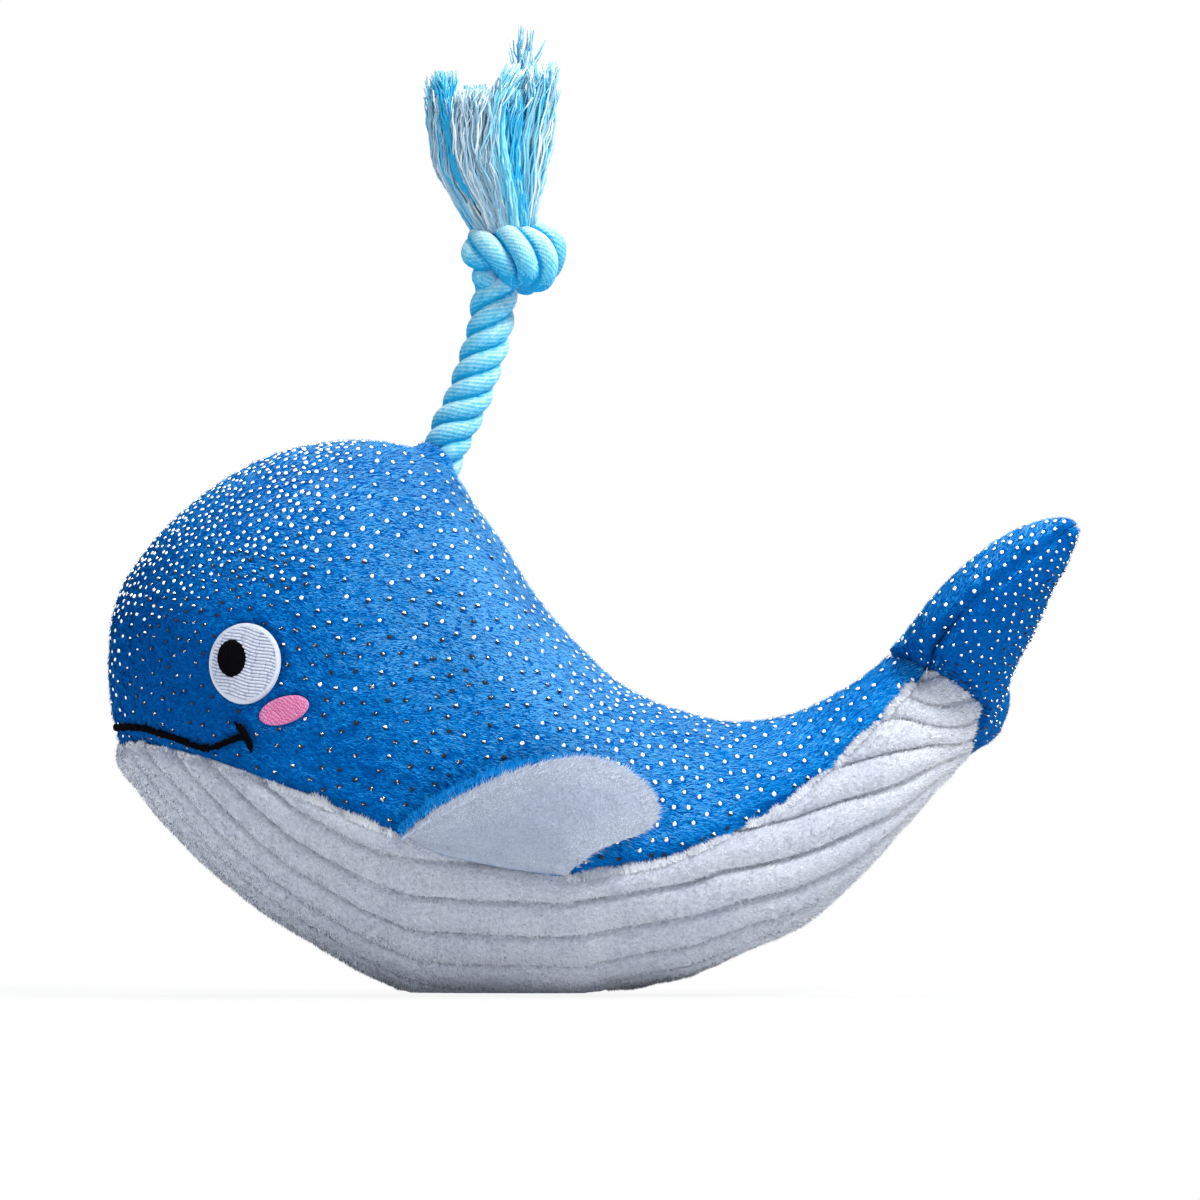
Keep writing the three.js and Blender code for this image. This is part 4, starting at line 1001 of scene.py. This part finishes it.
def fin_layer(name, side, edge, low, thick, mat):
    """One padded layer of a fin laid against the body's side, with its front and back as grids of places. low is
    its gap from the cloth behind it."""
    n_u, n_v = ((140, 48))
    u, v = np.linspace(0, 1, n_u), np.linspace(0, 1, n_v)[None, :]
    foot, rim = rows_at(FIN_ROOT, u), rows_at(edge, u)
    reach = np.linalg.norm(rim - foot, axis=1)[:, None] / 0.030
    u = u[:, None]
    w = v[..., None] ** 0.9
    xz = foot[:, None] * (1 - w) + rim[:, None] * w
    p, n = side_surface(xz[..., 0], xz[..., 1], side)
    n = unit(n + [0, -0.35 * side, 0])
    grown = smooth(reach * 3.5)
    gap = (low - 0.3 * MM) * smooth(v * 2.5) + 2.4 * MM * smooth(v * 1.1) * np.clip(reach, 0, 1)
    stand = 0.3 * MM + gap * grown - 3.4 * MM * (1 - smooth(v / 0.16))
    folds = (np.sin(8.0 * u + 2.2 * v + 1.0) + 0.5 * np.sin(17.0 * u + 1.3)) * MM * smooth(v * 2) * (1 - 0.65 * v)
    thick = thick * (0.25 + 0.75 * grown)
    round_u = np.clip(np.sin(np.pi * np.clip(u, 0.004, 0.996)) * 5, 0, 1) ** 0.5
    plump = 0.5 * (1 - np.abs(2 * v - 1) ** 7) * round_u
    nap = (noise(p, 0.012, 61) * 0.4 + noise(p, 0.0025, 62) * 0.15) * MM
    front = p + n * (stand + folds + thick * (0.5 + plump) + nap)[..., None]
    back = p + n * (stand + folds * 0.6 + thick * (0.5 - plump))[..., None]
    over, m = grid_faces(n_u, n_v), n_u * n_v
    first_row, first_column = np.arange(n_v), np.arange(n_u) * n_v
    rim_ids = np.concatenate([first_row, first_column + n_v - 1, (n_u - 1) * n_v + first_row[::-1],
                              first_column[::-1]])
    after = np.roll(rim_ids, -1)
    here, after = rim_ids[rim_ids != after], after[rim_ids != after]
    band = np.stack([here + m, after + m, after, here], -1)
    faces = np.concatenate([over, over[:, ::-1] + m, band])
    pts = np.concatenate([front.reshape(-1, 3), back.reshape(-1, 3)])
    return add_mesh(name, pts, faces[:, ::-side], [mat]), front, back


SIDES = (("left", 1), ("right", -1))
fins = {}
for word, side in SIDES:
    for layer, edge, low, thick, mat, slot in (
            ("under", FIN_EDGE, 3.3 * MM, 2.2 * MM, FIN_SKIN, "white_plush"),
            ("upper", FIN_BACK_EDGE, 0.8 * MM, 2.0 * MM, BLUE_SKIN, "blue_plush")):
        skin, front, back = fin_layer("fin_panel_%s_%s" % (layer, word), side, edge, low, thick, mat)
        dress(skin, "fin_" + word, "fin_%s_%s" % (layer, word))
        fins[layer, word] = front, back


# Embroidery
def stitched_disc(name, side, place, size, tilt, mats, height, pattern, egg, rings, around):
    """An embroidered oval on the head: a raised plate whose relief comes from pattern(a, b, r)."""
    r = np.concatenate([[0.0], np.linspace(0.01, 1, rings), [1.03]])[:, None]
    turn = 2 * np.pi * np.arange(around)[None, :] / around
    a, b = r * np.cos(turn) * size[0] / 2, r * np.sin(turn) * size[1] / 2
    a = a * (1 + egg * b / (size[1] / 2))
    x = place[0] + a * np.cos(tilt) - b * np.sin(tilt)
    z = place[1] + a * np.sin(tilt) + b * np.cos(tilt)
    p, n = side_surface(x, z, side)
    laid = pattern(a, b, r)
    relief = np.where(r > 1.0, -0.8 * MM, height * (1 - np.clip(r, 0, 1) ** 10) ** 0.5 + laid)
    tris = triangles(grid_faces(rings + 2, around, wrap=True))
    # Painted shade: faces low between the rows of thread take the second, shaded material
    deep = laid.ravel()[tris].mean(1) < 0.46 * laid.max()
    return add_mesh(name, (p + n * relief[..., None]).reshape(-1, 3), tris[:, ::-side], mats, deep)


def threads(along, across, pitch, length, dip_depth=0.8):
    """Height from 0 to 1 of rows of laid thread, each stitch dipping at its ends."""
    row = np.floor(across / pitch)
    body = np.abs(np.sin(np.pi * across / pitch)) ** 0.7
    start = np.mod(np.sin(row * 12.9898) * 43.7, 1)
    wander = 0.25 * np.sin(along / (1.1 * MM) + 7 * start)
    place = np.mod(along / length + start + wander, 1)
    return body * (1 - dip_depth * bell(np.minimum(place, 1 - place) * length, 0, 0.25 * MM))


def eye_pattern(a, b, r):
    """Rows of stitches, and a satin rim round them."""
    tilt = -0.10
    along, across = a * np.cos(tilt) + b * np.sin(tilt), b * np.cos(tilt) - a * np.sin(tilt)
    across = across + 0.25 * MM * np.sin(along / (1.5 * MM))
    inner = threads(along, across, 0.95 * MM, 2.9 * MM, 0.45) * 0.50 * MM
    return np.where(r > 0.91, (0.50 + 0.10 * np.sin(np.arctan2(b, a) * 110)) * MM, inner)


def pupil_pattern(a, b, r):
    return threads(b, a, 0.62 * MM, 30 * MM) * 0.25 * MM


def cheek_pattern(a, b, r):
    return threads(a * 0.8 + b * 0.6, b * 0.8 - a * 0.6, 0.60 * MM, 0.95 * MM) * 0.34 * MM


JAG_STEP, STITCH = 0.4 * MM, 0.6 * MM


def satin_line(share, angle, width, seed, taper, cuts):
    """A line of satin stitch along a path on the skin."""
    run = run_along(body_point(share, angle))
    s = np.linspace(0, run[-1], max(int(run[-1] / (0.16 * MM)), 8))
    share, angle = np.interp(s, run, share), np.interp(s, run, angle)
    p, n = body_point(share, angle), body_normal(share, angle)
    p = p - n * ((0.5 + 0.9 * snout(p[:, 0])) * MM)[:, None]
    side = np.cross(n, unit(np.gradient(p, axis=0)))
    rng = np.random.default_rng(seed)
    marks = np.arange(0, s[-1] + JAG_STEP, JAG_STEP)
    jag = np.interp(s, marks, 1 + 0.2 * rng.normal(size=len(marks)))
    for cut in cuts:
        jag = jag * (1 - 0.95 * bell(s, cut * s[-1], 0.36 * MM))
    end = np.clip(np.minimum(s, s[-1] - s) / taper, 0.12, 1) ** 0.6
    c = np.linspace(-1, 1, 13)[None, :]
    stitch = np.abs(np.sin(np.pi * (s[:, None] + 0.3 * MM * c) / STITCH)) ** 0.7
    high = np.where(np.abs(c) > 0.99, -0.3 * MM, (0.6 * np.clip(1 - c ** 4, 0, 1) + 0.38 * stitch) * MM)
    out = c * (width / 2 * jag * end)[:, None]
    return p[:, None] + side[:, None] * out[..., None] + n[:, None] * high[..., None], grid_faces(len(s), 13)


for word, side in SIDES:
    for name, node, slot, shape, mats, height, pattern, egg, rings, around in (
            ("eye_white_stitches_", "eye_white_", "white_thread", (EYE, EYE_SIZE, EYE_TILT), EYE_WHITE,
             0.75 * MM, eye_pattern, 0.03, *(((96, 300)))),
            ("pupil_stitches_", "eye_pupil_", "black_thread", (PUPIL, PUPIL_SIZE, 0.0), [BLACK_THREAD] * 2,
             1.75 * MM, pupil_pattern, 0.0, 40, 150),
            ("cheek_stitches_", "cheek_", "pink_thread", (CHEEK, CHEEK_SIZE, CHEEK_TILT), CHEEK_PINK,
             0.75 * MM, cheek_pattern, 0.0, 56, 200)):
        disc = stitched_disc(name + word, side, *shape, mats, height, pattern, egg, rings, around)
        dress(disc, "body", node + word)
MOUTH_CUTS = (0.088, 0.143, 0.245, 0.30, 0.70, 0.755, 0.857, 0.912)
heap = Heap()
for line, width, seed, taper, cuts in zip(MOUTH_LINES, (1.85 * MM, 2.0 * MM, 2.0 * MM), (1, 2, 3),
                                          (0.5 * MM, 2.6 * MM, 2.6 * MM), (MOUTH_CUTS, (), ())):
    heap.add(*satin_line(*line, width, seed, taper, cuts))
dress(heap.make("mouth_stitches", [BLACK_THREAD]), "body", "mouth_stitching")


# Inner pieces
def body_filling(steps=90, sides=72):
    u = np.linspace(0.03, 0.93, steps)[:, None]
    angle = 2 * np.pi * np.arange(sides)[None, :] / sides
    share, angle = u + 0 * angle, angle + 0 * u
    p = body_point(share, angle)
    q = p - body_normal(share, angle) * ((6.5 + 1.2 * noise(p, 0.011, 90)) * MM)[..., None]
    q[..., 2] = np.maximum(q[..., 2], 6 * MM)
    pts = np.concatenate([q.reshape(-1, 3), q[:1].mean((0, 1))[None], q[-1:].mean((0, 1))[None]])
    walls = grid_faces(steps, sides, wrap=True)[:, ::-1]
    return add_mesh("body_filling", pts, triangles(np.concatenate([walls, cap_faces(steps, sides)])), [FIBRE])


def fluke_filling():
    """The fluke's form drawn in towards its middle, more so inside the tail's end."""
    a, b, c = fluke_axes(np.concatenate([upper_p, under_p]))
    smaller = fluke_point(a * 0.80, 0.008 + (b - 0.008) * 0.74, arch(a) + (c - arch(a)) * 0.66)
    a, b, c = fluke_axes(tucked(smaller, -8 * MM))
    narrow = 1 - 0.65 * (1 - smooth((b - 0.012) / 0.016))
    q = fluke_point(a * narrow, b, arch(a * narrow) + (c - arch(a)) * narrow)
    return add_mesh("fluke_filling", q, np.concatenate([upper_t, under_t + len(upper_p)]), [FIBRE])


dress(body_filling(), "body", "body_stuffing")
dress(fluke_filling(), "fluke", "fluke_stuffing")

low, high = (np.array(corner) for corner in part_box("rope_anchor"))
STOPPER_LOOP = np.array([
    (0.0, 0, 1.0), (0.1, -0.3, 0.4), (0.45, -0.5, -0.2), (0.3, 0.1, -0.6), (-0.3, 0.45, -0.35), (-0.5, 0.1, 0.1),
    (-0.1, -0.5, 0.3), (0.45, -0.1, 0.35), (0.2, 0.5, 0.0), (-0.3, 0.1, -0.5), (0.0, 0.0, -0.95)])
heap = Heap()
laid_rope(heap, (low + high) / 2 + STOPPER_LOOP * (high - low) / 2 * 0.9, 0.0075, 0.016, step=0.0008, sides=24)
dress(heap.make("rope_inner_knot", ROPES), "body", "rope_anchor")
for node in ("squeaker_bulb", "squeaker_reed"):
    part = bpy.data.objects[node]
    if not part.material_slots:
        part.data.materials.append(PLASTIC)
    for slot in part.material_slots:
        slot.link, slot.material = "OBJECT", PLASTIC


# Foil dots
def triangles_of(p):
    f = grid_faces(*p.shape[:2])[:, ::-1]
    return p.reshape(-1, 3)[np.concatenate([f[:, [0, 1, 2]], f[:, [0, 2, 3]]])]


def crosses(tris):
    """Normals of triangles, twice as long as their areas."""
    return np.cross(tris[:, 1] - tris[:, 0], tris[:, 2] - tris[:, 0])


def sample(tris, count, rng):
    """Random places on triangles, and the normals there."""
    cross = crosses(tris)
    run = np.cumsum(np.linalg.norm(cross, axis=1) / 2)
    face = np.searchsorted(run, rng.uniform(0, run[-1], count)).clip(0, len(tris) - 1)
    r1, r2 = np.sqrt(rng.uniform(size=count))[:, None], rng.uniform(size=count)[:, None]
    t = tris[face]
    return t[:, 0] * (1 - r1) + t[:, 1] * (r1 * (1 - r2)) + t[:, 2] * (r1 * r2), unit(cross[face])


def dot_spacing(p):
    """How far apart the dots are at a place: closest on the upper front of the head, close along the tail."""
    x, z = p[:, 0] / MM, p[:, 2] / MM
    crown = smooth((-50 - x + 0.35 * (z - 120)) / 22) * smooth((z - 104) / 16)
    front = smooth((-84 - x) / 12) * smooth((z - 94) / 14)
    gap = 4.3 - 0.5 * smooth((-84 - x) / 12) - 2.1 * crown - 1.2 * front * (1 - crown) \
        - 0.6 * smooth((x - 8) / 12) - 0.9 * bell(x, 22, 15) * bell(z, 86, 12) + 0.5 * smooth((x - 55) / 20)
    return np.maximum(gap, 2.1) * (1 + 0.12 * noise(p, 0.008, 91)) * MM


def scatter(tris, spacing, seed, allowed):
    """Places at least their spacing apart."""
    p, n = sample(tris, 30000, np.random.default_rng(seed))
    gap = spacing(p)
    cells, kept = {}, []
    steps = (-1, 0, 1)
    for i in np.flatnonzero(allowed(p)):
        key = tuple((p[i] // DOT_CELL).astype(int))
        near = [j for dx in steps for dy in steps for dz in steps
                for j in cells.get((key[0] + dx, key[1] + dy, key[2] + dz), ())]
        if near and (np.linalg.norm(p[near] - p[i], axis=1) < gap[i]).any():
            continue
        cells.setdefault(key, []).append(i)
        kept.append(i)
    return p[kept], n[kept]


# Dots that could be too close lie at most one cell apart
DOT_RADIUS, DOT_CELL, DOT_SIDES = 0.72 * MM, 5.2 * MM, 12
# How far dots and pile stay from what they would cover
DOT_OFF_STITCHES, DOT_OFF_HOLE, DOT_OFF_SEAM = 1.2 * MM, 8.5 * MM, 1.7 * MM
PILE_OFF_DOT, PILE_OFF_STITCHES, PILE_OFF_FIN_ROOT, TUFTS_OFF_FLUKE = 0.80 * MM, 0.15 * MM, 2.6 * MM, 2.2 * MM
dot_places, dot_pieces = [], []


def dots(name, places, normals, lift, seed, size=1.0, less_painted_shade=0.0):
    """Domed foil dots pressed into the pile. Those low on the sides are painted dark for the shade they reflect, all
    over or on their lower half.
    """
    rng = np.random.default_rng(seed)
    heap = Heap()
    j = np.arange(DOT_SIDES)
    k, turn = (j + 1) % DOT_SIDES, 2 * np.pi * j / DOT_SIDES
    inner, top, low = DOT_SIDES, 2 * DOT_SIDES, 2 * DOT_SIDES + 1
    faces = np.concatenate([np.stack(corners, -1) for corners in (
        [j, k, inner + k], [j, inner + k, inner + j], [inner + j, inner + k, np.full(DOT_SIDES, top)],
        [low + j, low + k, k], [low + j, k, j])])
    lower = np.tile(np.sin(turn + np.pi / DOT_SIDES) < 0.25, 5)
    for p, n in zip(places, normals):
        tilt = unit(n + rng.normal(size=3) * 0.12)
        a = unit(np.cross([0.3, 0.2, 0.93], tilt))
        r = DOT_RADIUS * size * rng.uniform(0.86, 1.08) * (1 - 0.20 * smooth((-0.060 - p[0]) / 0.03))
        ring = r * (np.cos(turn)[:, None] * a + np.sin(turn)[:, None] * np.cross(tilt, a))
        pts = np.concatenate([p + n * lift + ring, p + n * (lift + 0.12 * MM) + 0.6 * ring,
                              [p + n * (lift + 0.17 * MM)], p + n * (lift - 0.25 * MM) + 0.95 * ring])
        # Painted reflection: how much light a dot is painted as reflecting, less on the face and more towards the
        # tail
        facing = n[2] + 0.7 * smooth((-0.72 - n[0]) / 0.2) + rng.normal() * 0.13
        facing += 0.5 * smooth((p[0] - 0.005) / 0.03) + less_painted_shade
        facing -= 0.4 * bell(p[0], -0.088, 0.013) * bell(p[2], 0.098, 0.022)
        # Dark all over with a few painted glints, or painted dark on the lower half only
        if facing < 0.10:
            which = np.where(np.tile(rng.uniform(size=DOT_SIDES) < 0.12, 5), 0, 1)
        else:
            which = lower & (facing < 0.30)
        heap.add(pts, faces, which)
    dot_places.append(places)
    return heap.make(name, [FOIL, FOIL_PAINTED_SHADE])


def on_blue(p):
    """Off the embroidery, and off the rope's hole."""
    hole = np.linalg.norm(p[:, :2] - BLOWHOLE[:2], axis=1)
    off_stitches = (from_embroidery(p) > DOT_OFF_STITCHES) | (p[:, 0] > FACE_END)
    return off_stitches & ((hole > DOT_OFF_HOLE) | (p[:, 2] < HOLE_LOW))


def fluke_open(p):
    """Off the seam along the fluke's edge, and not covered by the tail."""
    return (distances(seam_tree, p) > DOT_OFF_SEAM) & clear_of_tail(p)


def fluke_spacing(gap):
    """How far apart the dots are on one panel of the fluke: closer far back, wider on the far lobe."""
    def spacing(p):
        a, b, _ = fluke_axes(p)
        return gap * (1 - 0.25 * smooth((b - 0.02) / 0.02) + 1.4 * smooth((0.002 - a) / 0.012))
    return spacing


for name, seed in (("back_left", 5), ("back_right", 6)):
    places, normals = scatter(triangles_of(grids[name][:-4, 3:-3]), dot_spacing, seed, on_blue)
    dot_pieces.append(dots("dots_" + name, places, normals, 0.50 * MM, seed))
    dress(dot_pieces[-1], None)
seam_tree = near_tree(upper_p[upper_rim])
for label, pts, tris, seed, gap, size, less_painted_shade in (("upper", upper_p, upper_t, 7, 3.6 * MM, 0.88, 0.22),
                                                  ("under", under_p, under_t, 8, 2.7 * MM, 0.66, 0.2)):
    places, normals = scatter(pts[tris], fluke_spacing(gap), seed, fluke_open)
    dress(dots("dots_fluke_" + label, places, normals, 0.55 * MM, seed, size, less_painted_shade), "fluke")
dress(fluke_upper, "fluke", "fluke_upper_panel")
dress(fluke_under, "fluke", "fluke_under_panel")
dot_tree = near_tree(np.concatenate(dot_places))


# Pile
def pile(name, tris, comb, density, length, width, lean, mats, seed, allowed=None, tone=None, spread=0.35,
         rough=0.3):
    """Short fibres over a surface: each is one thin leaning blade, shaded nearly as the cloth under it."""
    rng = np.random.default_rng(seed)
    area = np.linalg.norm(crosses(tris), axis=1).sum() / 2
    p, n = sample(tris, int(area / MM ** 2 * density * KEPT), rng)
    if allowed:
        keep = allowed(p)
        p, n = p[keep], n[keep]
    count = len(p)
    flow = comb(p)
    flow = unit(flow - n * (flow * n).sum(1, keepdims=True))
    swirl = noise(p, 0.012, seed + 1)[:, None] * 0.35
    flow = unit(flow + np.cross(n, flow) * (swirl + rng.normal(size=(count, 1)) * spread))
    tilt = np.clip(lean + rng.normal(size=count) * 0.12 + 0.10 * noise(p, 0.004, seed + 2), 0.1, 1.42)[:, None]
    size = (length * rng.uniform(0.72, 1.1, count))[:, None]
    root = p - n * 0.12 * MM
    tip = root + (n * np.cos(tilt) + flow * np.sin(tilt)) * size
    side = unit(np.cross(n, flow) + 0.25 * rng.normal(size=(count, 3))) * (width / 2)
    shade = rng.uniform(size=count) * 0.5 + 0.25 + (tone(p, n) if tone else 0)
    which = np.digitize(shade, np.arange(1, len(mats)) / len(mats))
    facing = n + rng.normal(size=(count, 3)) * rough
    return fibres(name, np.stack([root + side, root - side, tip], 1), facing, mats, which)


def off_dots(first):
    """A test for places that pass the first test and that no dot covers."""
    def allowed(p):
        keep = first(p)
        keep[keep] = distances(dot_tree, p[keep]) > PILE_OFF_DOT
        return keep
    return allowed


def toward_tail(p):
    """The nap lies back from the nose, downwards ahead and upwards along the tail."""
    rise = smooth((p[:, 0] - 0.02) / 0.08)
    return np.stack([np.ones(len(p)), 0.15 * p[:, 1] / 0.05, rise * 0.75 - 0.25], -1)


def to_fin_edge(p):
    return np.tile([0.85, 0, 0.5], (len(p), 1))


PAINTED_LIGHT_FROM = unit(np.array([0.62, -0.10, 0.78]))


def blue_tone(p, n):
    """Painted light and shade: the laid nap is paler where it faces the light from up and back, with a painted
    highlight on the flank and painted shade on the face; deeper towards the tail, with streaks along it."""
    x, z = p[:, 0], p[:, 2]
    streak = noise(p * [0.38, 1, 1.5], 0.0017, 72)
    # Painted light: paler where the cloth faces the light from up and back
    nap = 0.34 - 0.70 * smooth(((n * PAINTED_LIGHT_FROM).sum(-1) + 0.26) / 0.95)
    face = 0.20 * bell(x, -0.092, 0.022) * bell(z, 0.088, 0.020)
    rear = 0.24 * smooth((x - 0.030) / 0.045)
    flank = 0.24 * bell(x, -0.024, 0.030) * bell(z, 0.100, 0.030)
    streaks = 0.30 * np.maximum(streak - 0.25, 0) + 0.08 * streak
    return nap + face + rear - flank + 0.08 * noise(p, 0.017, 71) + streaks


def white_tone(p, n):
    """Painted light: whitest towards the tail, which is lit most; painted shade makes it greyer low down in front.
    """
    low = smooth((0.045 - p[:, 2]) / 0.04) * smooth((0.08 - p[:, 0]) / 0.04)
    return 0.22 * noise(p, 0.009, 73) - 0.05 + 0.16 * low - 0.75 * smooth((p[:, 0] - 0.095) / 0.02)


def fluke_tone(p, n):
    """As on the body, with painted shade in the seam's crease and on the under side."""
    seam = 0.80 * bell(distances(seam_tree, p), 0, 2.0 * MM)
    return blue_tone(p, n) - 0.30 + seam + 0.74 * smooth(-(n @ NORMAL) / 0.5)


def fin_tone(rim):
    """The fin is whitest by its edge, as painted light, and bluish in its middle, as painted shade."""
    tree = near_tree(rim)
    return lambda p, n: 0.25 * noise(p, 0.008, 77) + 0.10 - 0.60 * bell(distances(tree, p), 0, 7 * MM)


def fringe(name, line, outward, normal, per_mm, length, width, mats, seed, patchy, lift=0.4, inset=1.6,
           allowed=None):
    """Fibres along an edge, lying out over what is beside it."""
    rng = np.random.default_rng(seed)
    run = run_along(line)
    s = np.sort(rng.uniform(0, run[-1], int(run[-1] / MM * per_mm * KEPT)))
    p, out, n = between(s, run, line), unit(between(s, run, outward)), unit(between(s, run, normal))
    along = unit(np.cross(n, out))
    patchy = patchy * (1 - 0.5 * smooth((p[:, 0] - 0.005) / 0.015))
    fullness = (0.5 + 1.1 * noise(p, 0.0022, seed)) * (1 - 0.8 * smooth((-0.058 - p[:, 0]) / 0.02))
    amount = 1 - patchy + patchy * fullness
    keep = rng.uniform(size=len(s)) < np.clip(amount, 0.05, 1)
    if allowed:
        keep &= allowed(p)
    p, out, n, along, amount = p[keep], out[keep], n[keep], along[keep], amount[keep]
    count = len(p)
    root = p - out * rng.uniform(0, 1, (count, 1)) ** 1.7 * inset * MM - n * 0.2 * MM
    size = length * (1 - 0.25 * smooth((p[:, 0] - 0.02) / 0.03)) * rng.uniform(0.5, 1.1, count)
    size = (size * np.clip(amount + 0.3, 0.4, 1.5))[:, None]
    rise = n * lift * rng.uniform(0.2, 1.4, (count, 1))
    tip = root + (out + rise + along * rng.normal(size=(count, 1)) * 0.45) * size
    side = along * width / 2
    corners = np.stack([root + side, root - side, tip], 1)
    turned = (crosses(corners) * n).sum(1) < 0
    corners[turned] = corners[turned][:, [1, 0, 2]]
    which = rng.integers(0, len(mats), count)
    return fibres(name, corners, n + rng.normal(size=(count, 3)) * 0.3, mats, which)


off_face = off_dots(lambda p: (from_embroidery(p) > PILE_OFF_STITCHES) | (p[:, 0] > FACE_END))
pile_pieces = []
for name, seed in (("back_left", 41), ("back_right", 42)):
    pile_pieces.append(pile("pile_" + name, triangles_of(grids[name]), toward_tail, 6.0, 1.9 * MM, 0.26 * MM, 1.17,
                            BLUE_PILE, seed, off_face, blue_tone, spread=0.25))
    dress(pile_pieces[-1], None)
pile_pieces.append(pile("pile_belly", triangles_of(grids["belly"]), toward_tail, 4.0, 1.2 * MM, 0.30 * MM, 0.75,
                        WHITE_PILE, 43, lambda p: p[:, 2] > 0.0012, white_tone, spread=1.2, rough=0.4))
dress(pile_pieces[-1], None)
for label, pts, tris, seed in (("upper", upper_p, upper_t, 44), ("under", under_p, under_t, 45)):
    fur = pile("pile_fluke_" + label, pts[tris], toward_tail, 6.0, 1.7 * MM, 0.26 * MM, 1.17, BLUE_PILE, seed,
               off_dots(clear_of_tail), fluke_tone)
    dress(fur, "fluke")
for word, side in SIDES:
    under, upper = fins["under", word][0], fins["upper", word][0]
    root_tree = near_tree(under[:, 0])
    white_fur = pile("pile_fin_under_" + word, triangles_of(under)[:, ::side], to_fin_edge, 6.0, 2.4 * MM,
                     0.24 * MM, 1.12, FIN_PILE, 46, lambda p: distances(root_tree, p) > PILE_OFF_FIN_ROOT,
                     fin_tone(under[::2, -1]), spread=0.25)
    blue_fur = pile("pile_fin_upper_" + word, triangles_of(upper)[:, ::side], to_fin_edge, 5.0, 1.8 * MM,
                    0.28 * MM, 1.1, BLUE_PILE[1:3], 47)
    dress(white_fur, "fin_" + word)
    dress(blue_fur, "fin_" + word)

fluke_tree = near_tree(np.concatenate([upper_p, under_p]))


def clear_of_fins(p):
    """Neither behind a fin's root nor by the fluke."""
    beside = (p[:, 0] < FIN_FRONT[0] + 0.001) | (p[:, 0] > FIN_REAR[0] - 0.003)
    return beside & (distances(fluke_tree, p) > TUFTS_OFF_FLUKE)


for (word, side), seed in zip(SIDES, (81, 82)):
    columns = grids["belly"][6:-9, ::side]
    edge, outward = columns[:, 1], columns[:, 1] - columns[:, 5]
    normal = unit(np.cross(np.gradient(edge, axis=0), outward))
    normal = normal * np.sign(1e-9 - side * normal[:, 1:2])
    pile_pieces.append(fringe("seam_tufts_" + word, edge + normal * 0.9 * MM, outward, normal, 40, 2.0 * MM,
                              0.28 * MM, WHITE_PILE[:2], seed, 0.95, allowed=clear_of_fins))
    dress(pile_pieces[-1], None)
for word, _ in SIDES:
    for layer, mats, slot, seed in (("under", FIN_PILE[:2], "white_plush", 83),
                                    ("upper", BLUE_PILE[1:3], "blue_plush", 84)):
        front, back = (grid[2:-9] for grid in fins[layer, word])
        normal = unit(front[:, -4] - back[:, -4])
        fur = fringe("fin_fringe_%s_%s" % (layer, word), (front[:, -1] + back[:, -1]) / 2 + normal * 0.5 * MM,
                     front[:, -1] - front[:, -4], normal, 34, 1.9 * MM, 0.20 * MM, mats, seed, 0.3, 0.5, 5.0)
        dress(fur, "fin_" + word)
for piece in skins + pile_pieces + dot_pieces:
    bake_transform(piece)
